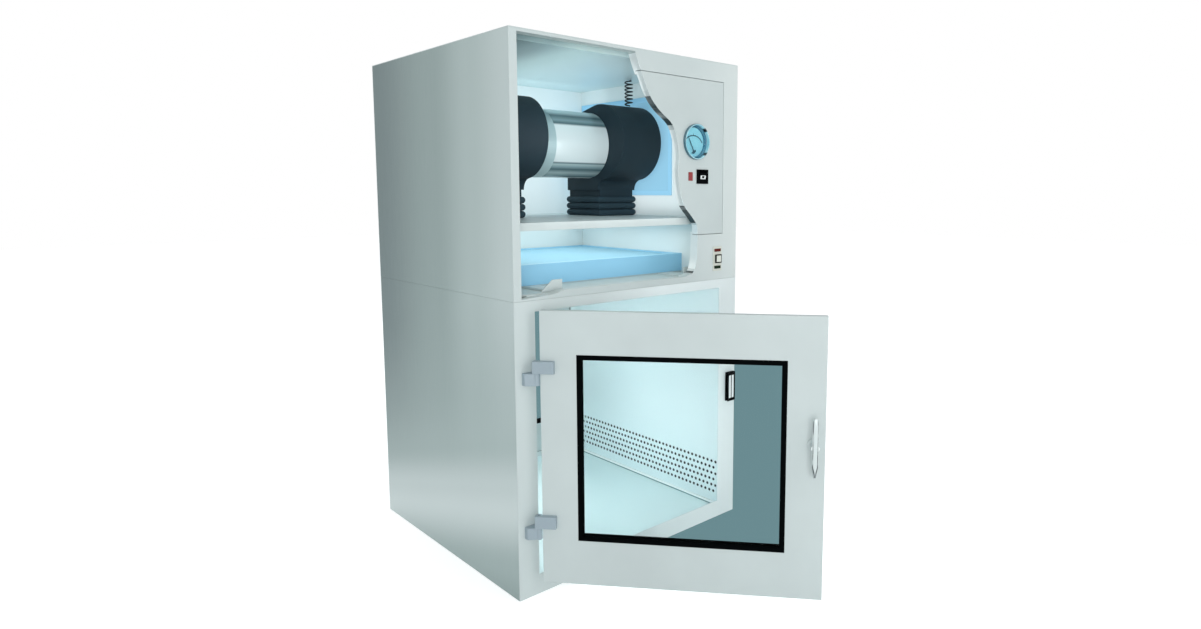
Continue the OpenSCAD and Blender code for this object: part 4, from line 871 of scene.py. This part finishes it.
def dress_handle(door):
    """A grip lofted upwards from rounded sections, on a turned neck and spindle with a flat cam.
    With v from -1 to 1 up the grip, its sections swell by (1 - |v|^7)^0.5 and narrow by two soft waists."""
    pivot = np.array(JOINTS[door + "_handle_turn"]["pos_m"], float)
    inward = door_axes(door)[2]
    place = door_place(door, pivot)
    body = door + "_handle"
    upward = np.linspace(-1, 1, 49)
    full = np.sqrt(np.clip(1 - np.abs(upward) ** 7, 0.0004, 1))
    waist = 1 - 0.22 * np.exp(-((upward + 0.78) / 0.2) ** 2) - 0.1 * np.exp(-((upward - 0.7) / 0.25) ** 2)
    ring = rounded_profile(1.0, 1.0, 0.36, 7)
    points = np.zeros((len(upward), len(ring), 3))
    points[..., 0] = ring[None, :, 0] * (GRIP_WIDTH * full * waist)[:, None]
    points[..., 1] = ring[None, :, 1] * (GRIP_THICK * np.minimum(full * 1.1, 1))[:, None]
    points[..., 1] += GRIP_FRONT + GRIP_THICK / 2
    points[..., 2] = (upward * GRIP_LENGTH / 2)[:, None]
    solid = np.concatenate([points.reshape(-1, 3), [points[0].mean(0), points[-1].mean(0)]])
    grip = add_piece(door + "_handle_grip", place(solid * MM), capped_tube_faces(*points.shape[:2]), body,
                     "chrome", grip_painted_reflections(door), smooth_below=60.0)
    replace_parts(grip, door + "_latch")
    turned_piece(door + "_handle_neck", NECK, pivot, inward, body, "chrome")
    turned_piece(door + "_latch_spindle", SPINDLE, pivot, inward, body, "bright_steel")
    turn = np.linspace(0, np.pi, 25)
    half_round = np.stack([np.cos(turn), np.sin(turn)], -1)
    outline = np.concatenate([-CAM_HUB_R * half_round, CAM_TIP_R * half_round + [0.0, CAM_REACH]])
    solid = np.concatenate([np.insert(outline, 1, depth, axis=1) for depth in CAM_FACES])
    cam = add_piece(door + "_latch_cam", place(solid * MM), prism_faces(len(outline)), body, "bright_steel")
    round_edges(cam, 0.4)


# ---- fan set

# In millimetres; profiles are (radius, height) pairs
FOLDS = 3
FOLD_OUT = 8.4
NECK_WALL = 3.0
INLET_LIP = [(62.3, -4), (62.0, 0), (64, 2.2), (68, 3.2), (73, 2.6), (75, 0.9), (75, 0.1), (66, 0.1),
             (64.5, -4)]
BOLT = [(0.009, -3), (3.78, -3), (3.78, -0.8), (3.24, -0.2), (0.009, -0.2)]
BOLT_COUNT = 6
BOLT_CIRCLE_R = 70.0


def dress_necks():
    """Folded rubber necks: a rounded rectangle lofted upwards whose reach follows |sine|^0.4 of each fold."""
    for side, name in SIDES:
        low, high = part_box("neck_bellows", 0, side) / MM
        middle, outer = (low + high) / 2, high - low
        upward = np.linspace(0, 1, FOLDS * 16 + 1)
        rows = []
        for share, grow in zip(upward, np.abs(np.sin(np.pi * FOLDS * upward)) ** 0.4):
            inset = 2 * FOLD_OUT * (1 - grow)
            ring = rounded_profile(outer[0] - inset, outer[1] - inset, 4.0 + 3.0 * grow, 6) + middle[:2]
            rows.append(np.insert(ring, 2, low[2] + share * outer[2], axis=1))
        walls = np.array(rows)
        inner = walls[::-1].copy()
        centre = walls.mean((0, 1))[:2]
        inner[..., :2] = centre + (inner[..., :2] - centre) * (1 - 2 * NECK_WALL / outer[:2].min())
        shell = np.concatenate([walls, inner])
        piece = add_piece(name + "_folded_neck", shell * MM, grid_faces(*shell.shape[:2], True, True),
                          "cabinet", "neck_rubber", smooth_below=60.0)
        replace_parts(piece, "neck_bellows")


def dress_fan():
    """Inlet rings on the scrolls and a ring of bolts on the long end bell."""
    _, axis_y, axis_z = JOINTS["blower_spin"]["pos_m"]
    for side, name in SIDES:
        mouth_x = part_box("scroll_housings", 0, side)[int(side > 0)][0]
        turned_piece(name + "_inlet_ring", INLET_LIP, (mouth_x, axis_y, axis_z), (side, 0, 0), "cabinet",
                     "navy_housing", closed=True)
    bell_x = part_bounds("motor_end_bells")[0].x
    reach = BOLT_CIRCLE_R * MM
    for k in range(BOLT_COUNT):
        angle = math.radians(360 / BOLT_COUNT * k + 30)
        place = (bell_x, axis_y + reach * math.cos(angle), axis_z + reach * math.sin(angle))
        turned_piece(f"bell_bolt_{k}", BOLT, place, (-1, 0, 0), "cabinet", "bright_steel", steps=12)


SPRING_TURNS = 7
WIRE_R = 2.0
WIRE_STEPS = 12
WIRE_CLEAR = 0.2
EYE_SHARE = 0.06


def dress_springs():
    """Each hanger spring is a round wire carried along a helix, its ends led in to the middle as eyes."""
    for side, name in SIDES:
        low, high = part_box("hanger_springs", 0, side) / MM
        centre = (low + high) / 2
        t = np.linspace(0, 1, SPRING_TURNS * 28 + 1)
        ease = np.clip(np.minimum(t, 1 - t) / EYE_SHARE, 0, 1)
        coil = (high[0] - low[0]) / 2 - WIRE_R - WIRE_CLEAR
        reach = coil * (0.3 + 0.7 * np.sin(ease * np.pi / 2))
        angle = 2 * np.pi * SPRING_TURNS * t
        round_ = np.column_stack([np.cos(angle), np.sin(angle), np.zeros_like(t)])
        path = reach[:, None] * round_ + centre
        path[:, 2] = low[2] + WIRE_R + (high[2] - low[2] - 2 * WIRE_R) * t
        ahead = np.gradient(path, axis=0)
        ahead /= np.linalg.norm(ahead, axis=1, keepdims=True)
        out = round_ - (round_ * ahead).sum(1, keepdims=True) * ahead
        out /= np.linalg.norm(out, axis=1, keepdims=True)
        ring = np.linspace(0, 2 * np.pi, WIRE_STEPS, endpoint=False)[None, :, None]
        points = path[:, None] + WIRE_R * (np.cos(ring) * out[:, None]
                                           + np.sin(ring) * np.cross(ahead, out)[:, None])
        flat = np.concatenate([points.reshape(-1, 3), path[:1], path[-1:]])
        piece = add_piece(name + "_hanger_spring", flat * MM, capped_tube_faces(len(path), WIRE_STEPS),
                          "cabinet", "spring_dark", smooth_below=80.0)
        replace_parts(piece, "hanger_springs")


# ---- gauge

# In millimetres; turned profiles are (radius, height) pairs from the face of the access panel
BEZEL = [(42.3, -3), (42.3, 6.4), (42.8, 7.5), (43.8, 8), (45, 7.6), (45.8, 6.4), (46, 4.6), (46, 0.1),
         (43.6, 0.1), (43.6, -3)]
BEZEL_RIM = (44.4, 44.9)
CUP_RING = [(37.6, -9.9), (37.9, -9.2), (41.9, -1.2), (42.2, -1.0), (42.3, -1.6), (42.3, -9.9)]
CAN = [(0.01, -36), (42, -36), (43.6, -34), (43.6, -11), (0.01, -11)]
CARD = [(0.01, -10.4), (38, -10.4), (38, -10), (0.01, -10)]
HUB = [(0.01, -15), (1.15, -15), (1.15, -9.4), (3, -9.4), (3, -8.2), (2.3, -7.8), (0.01, -7.8)]
NEEDLE = [(-2.0, -6), (2.0, -6), (1.3, 0), (1.2, 10), (0.9, 34), (0, 41.5), (-0.9, 34), (-1.2, 10), (-1.3, 0)]
NEEDLE_HALF_W = 1.2
NEEDLE_DEPTHS = (8.0, 8.8)
PIVOT_PLATE = [(-7.4, -5.6), (2.0, -7.6), (9.6, -0.8), (8.6, 3.6), (0.6, 0.4)]
ARC_R = (38.6, 41.4)
ARC_END = 57
TICK_FOOT_R = 40.8
TICKS = (-50, -38, -26, -13, 0, 13, 26, 38, 50)
PRINT_DEPTHS = (9.95, 9.6)


def band(inner, outer, start, end, steps=2):
    """Outline of a flat band between two radii and two angles, measured in degrees from upright."""
    angle = np.radians(np.linspace(start, end, steps))
    ring = np.stack([np.sin(angle), np.cos(angle)], -1)
    return np.concatenate([ring * inner, ring[::-1] * outer])


def dress_gauge():
    """Turned gauge: a bright cupped bezel, a blue ring at the cup's foot, and a card with its arc."""
    low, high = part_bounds("gauge_case")
    face_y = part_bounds("access_panel")[0].y
    centre = np.array([(low.x + high.x) / 2, face_y, (low.z + high.z) / 2])
    outward = (0, -1, 0)
    for name, profile, finish, closed in (("bezel", BEZEL, bezel_mirror(centre), True),
                                          ("ring", CUP_RING, "gauge_blue", True),
                                          ("can", CAN, "zinc_sheet", False),
                                          ("card", CARD, dial_card(low.z, high.z), False)):
        piece = turned_piece("gauge_" + name, profile, centre, outward, "cabinet", "gauge_blue", finish, 128,
                             closed)
        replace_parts(piece, "gauge_case")
    pivot = np.array(JOINTS["needle_swing"]["pos_m"], float)
    pivot[1] = face_y

    def on_card(name, outline, depths, body="cabinet", lean=0.0):
        """A flat piece drawn about the pivot, leaned by an angle, between two depths."""
        outline = np.asarray(outline, float)
        ahead = np.array([math.sin(lean), 0, math.cos(lean)])
        aside = np.array([math.cos(lean), 0, -math.sin(lean)])
        flat = outline[:, :1] * aside + outline[:, 1:] * ahead
        points = np.concatenate([flat + [0, depth, 0] for depth in depths]) * MM + pivot
        return add_piece(name, points, prism_faces(len(outline)), body, "needle_dark")

    on_card("dial_arc", band(*ARC_R, -ARC_END, ARC_END, 61), PRINT_DEPTHS)
    for k, place in enumerate(TICKS):
        length, half = (4.6, 0.8) if place == 0 else (1.8, 0.5)
        on_card(f"dial_tick_{k}", band(TICK_FOOT_R, TICK_FOOT_R + length, place - half, place + half),
                PRINT_DEPTHS)
    on_card("dial_pivot_plate", PIVOT_PLATE, (9.95, 9.5))
    low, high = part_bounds("gauge_needle")
    lean = math.atan2(low.x + NEEDLE_HALF_W * MM - pivot[0], high.z - pivot[2])
    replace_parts(on_card("dial_needle", NEEDLE, NEEDLE_DEPTHS, "needle", lean), "gauge_needle")
    turned_piece("needle_hub", HUB, pivot, outward, "needle", "needle_dark", steps=32)


def bezel_mirror(centre):
    """Bright bezel with painted reflections of two dark bars, above and below its right side, and a painted shade
    on its outer rim.
    """
    finish = Finish("bezel_mirror", 0.12, 0.5)
    across = finish.axis("X", centre[0])
    up = finish.axis("Z", centre[2])
    place = finish.spread(finish.calc(up, across, "ARCTAN2"), -math.pi, math.pi)
    # Painted reflections: bright and deep tones and two dark bars, by the angle about the centre
    bright, deep, dark = (196, 236, 243), (150, 208, 222), (14, 30, 40)
    body = finish.ramp(place, [(0.0, deep), (0.34, bright), (0.365, dark), (0.385, dark), (0.40, bright),
                               (0.5, deep), (0.6, bright), (0.612, dark), (0.645, dark), (0.66, bright),
                               (0.72, deep), (1.0, bright)], smooth=False)
    lit = finish.blend(finish.share(finish.noise(90.0), 0.1), body, (235, 248, 250))
    # Painted shade: the outer rim turns dark
    reach = finish.calc(finish.calc(across, 2.0, "POWER"), finish.calc(up, 2.0, "POWER"))
    rim_foot, rim_top = BEZEL_RIM
    rim = finish.spread(finish.calc(reach, 0.5, "POWER"), rim_foot * MM, rim_top * MM, 0.0, 0.85)
    finish.colour(rim, lit, (60, 98, 114))
    return finish


def dial_card(foot, top):
    """Pale dial card with painted light, lighter towards its top."""
    finish = Finish("dial_card", 0.5)
    up = finish.spread(finish.axis("Z"), foot, top)
    body = finish.ramp(up, [(0.0, (150, 212, 230)), (0.55, (160, 224, 238)), (1.0, (166, 232, 246))])
    finish.colour(finish.share(finish.noise(300.0), 0.12), body, (225, 248, 252))
    return finish


# ---- controls

# In millimetres: the rocker's window as (left, foot, right, top) bars about its pivot, and its raised face
WINDOW_BARS = {"top": (-10, 3.4, 10, 5.0), "low": (-10, -5.0, 10, -2.6),
               "left": (-10, -5.0, -4.6, 5.0), "right": (4.6, -5.0, 10, 5.0)}
ROCKER_FACE = -11.0
ROCKER_TILT = math.radians(8)
# Heights that part the ready lens from the locked one, and that one from the power lamp
LENS_HEIGHTS = (720, 900)
PAD_W = 8.0
PAD_T = 0.9
PAD_OFFSETS = (5.5, 17.0)
PAD_MARGIN = 9.0


def on_rocker(points):
    """Leans points that are drawn about the rocker's pivot by its tilt at rest."""
    x, y, z = np.moveaxis(np.asarray(points, float), -1, 0)
    cos, sin = math.cos(ROCKER_TILT), math.sin(ROCKER_TILT)
    return np.stack([x, y * cos - z * sin, y * sin + z * cos], -1) + JOINTS["switch_rock"]["pos_m"]


def dress_controls():
    """The rocker's framed window, the lenses, the rim round the push button and the pads of the keepers."""
    for name, (x0, z0, x1, z1) in WINDOW_BARS.items():
        block_piece("rocker_window_" + name, (x0, ROCKER_FACE - 0.35, z0), (x1, ROCKER_FACE + 0.4, z1),
                    "rocker", "lamp_white", edge=0.15, place=on_rocker, segments=1)
    points = node_points("indicator_lenses") / MM
    storey = np.digitize(points[:, 2], LENS_HEIGHTS)
    for k, name in enumerate(("ready_lens", "locked_lens", "power_lamp")):
        group = points[storey == k]
        piece = block_piece(name, group.min(0), group.max(0), "cabinet", "lens_red", name, edge=0.9)
        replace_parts(piece, "indicator_lenses")
    low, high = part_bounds("interlock_button")
    plate_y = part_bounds("indicator_plate")[0].y
    rim = (plate_y - low.y) / MM - 0.2
    section = np.array([(0.5, 0.0), (0.5, -rim), (2.4, -rim), (3.0, 0.6 - rim), (3.0, 0.0)]) * MM
    section += [0.0, plate_y]
    ring_piece("button_well", section, (low.x, low.z), (high.x, high.z), "cabinet", "switch_black")
    for side, name in ((-1, "front"), (1, "rear")):
        low, high = part_box("door_keepers", 1, side) / MM
        lip = low[1] if side < 0 else high[1]
        y0, y1 = sorted((lip, lip + side * PAD_T))
        for k, offset in enumerate(PAD_OFFSETS):
            left = low[0] + offset
            block_piece(f"keeper_pad_{name}_{k}", (left, y0, low[2] + PAD_MARGIN),
                        (left + PAD_W, y1, high[2] - PAD_MARGIN), "cabinet", "lamp_white")


# ---- carried-over nodes

OWN_FINISH = {"lamp_tube": "lit_tube", "filter_deck": "deck_grey", "filter_gasket": "pale_gasket",
              "chamber_floor": "floor_pale"}


def finish_nodes():
    """Every CAD node that is still shown takes the finish of its slot, or its own one."""
    for name, node in NODES.items():
        node.data.materials.clear()
        node.data.materials.append(coat(OWN_FINISH.get(name), SLOT_OF[name]))


develop()
place_camera()
finish_nodes()
dress_sheets()
for side in ("front", "rear"):
    dress_door(side)
    dress_handle(side)
dress_necks()
dress_fan()
dress_springs()
dress_gauge()
dress_controls()
light_world()
hang_lamps()
lay_floor()
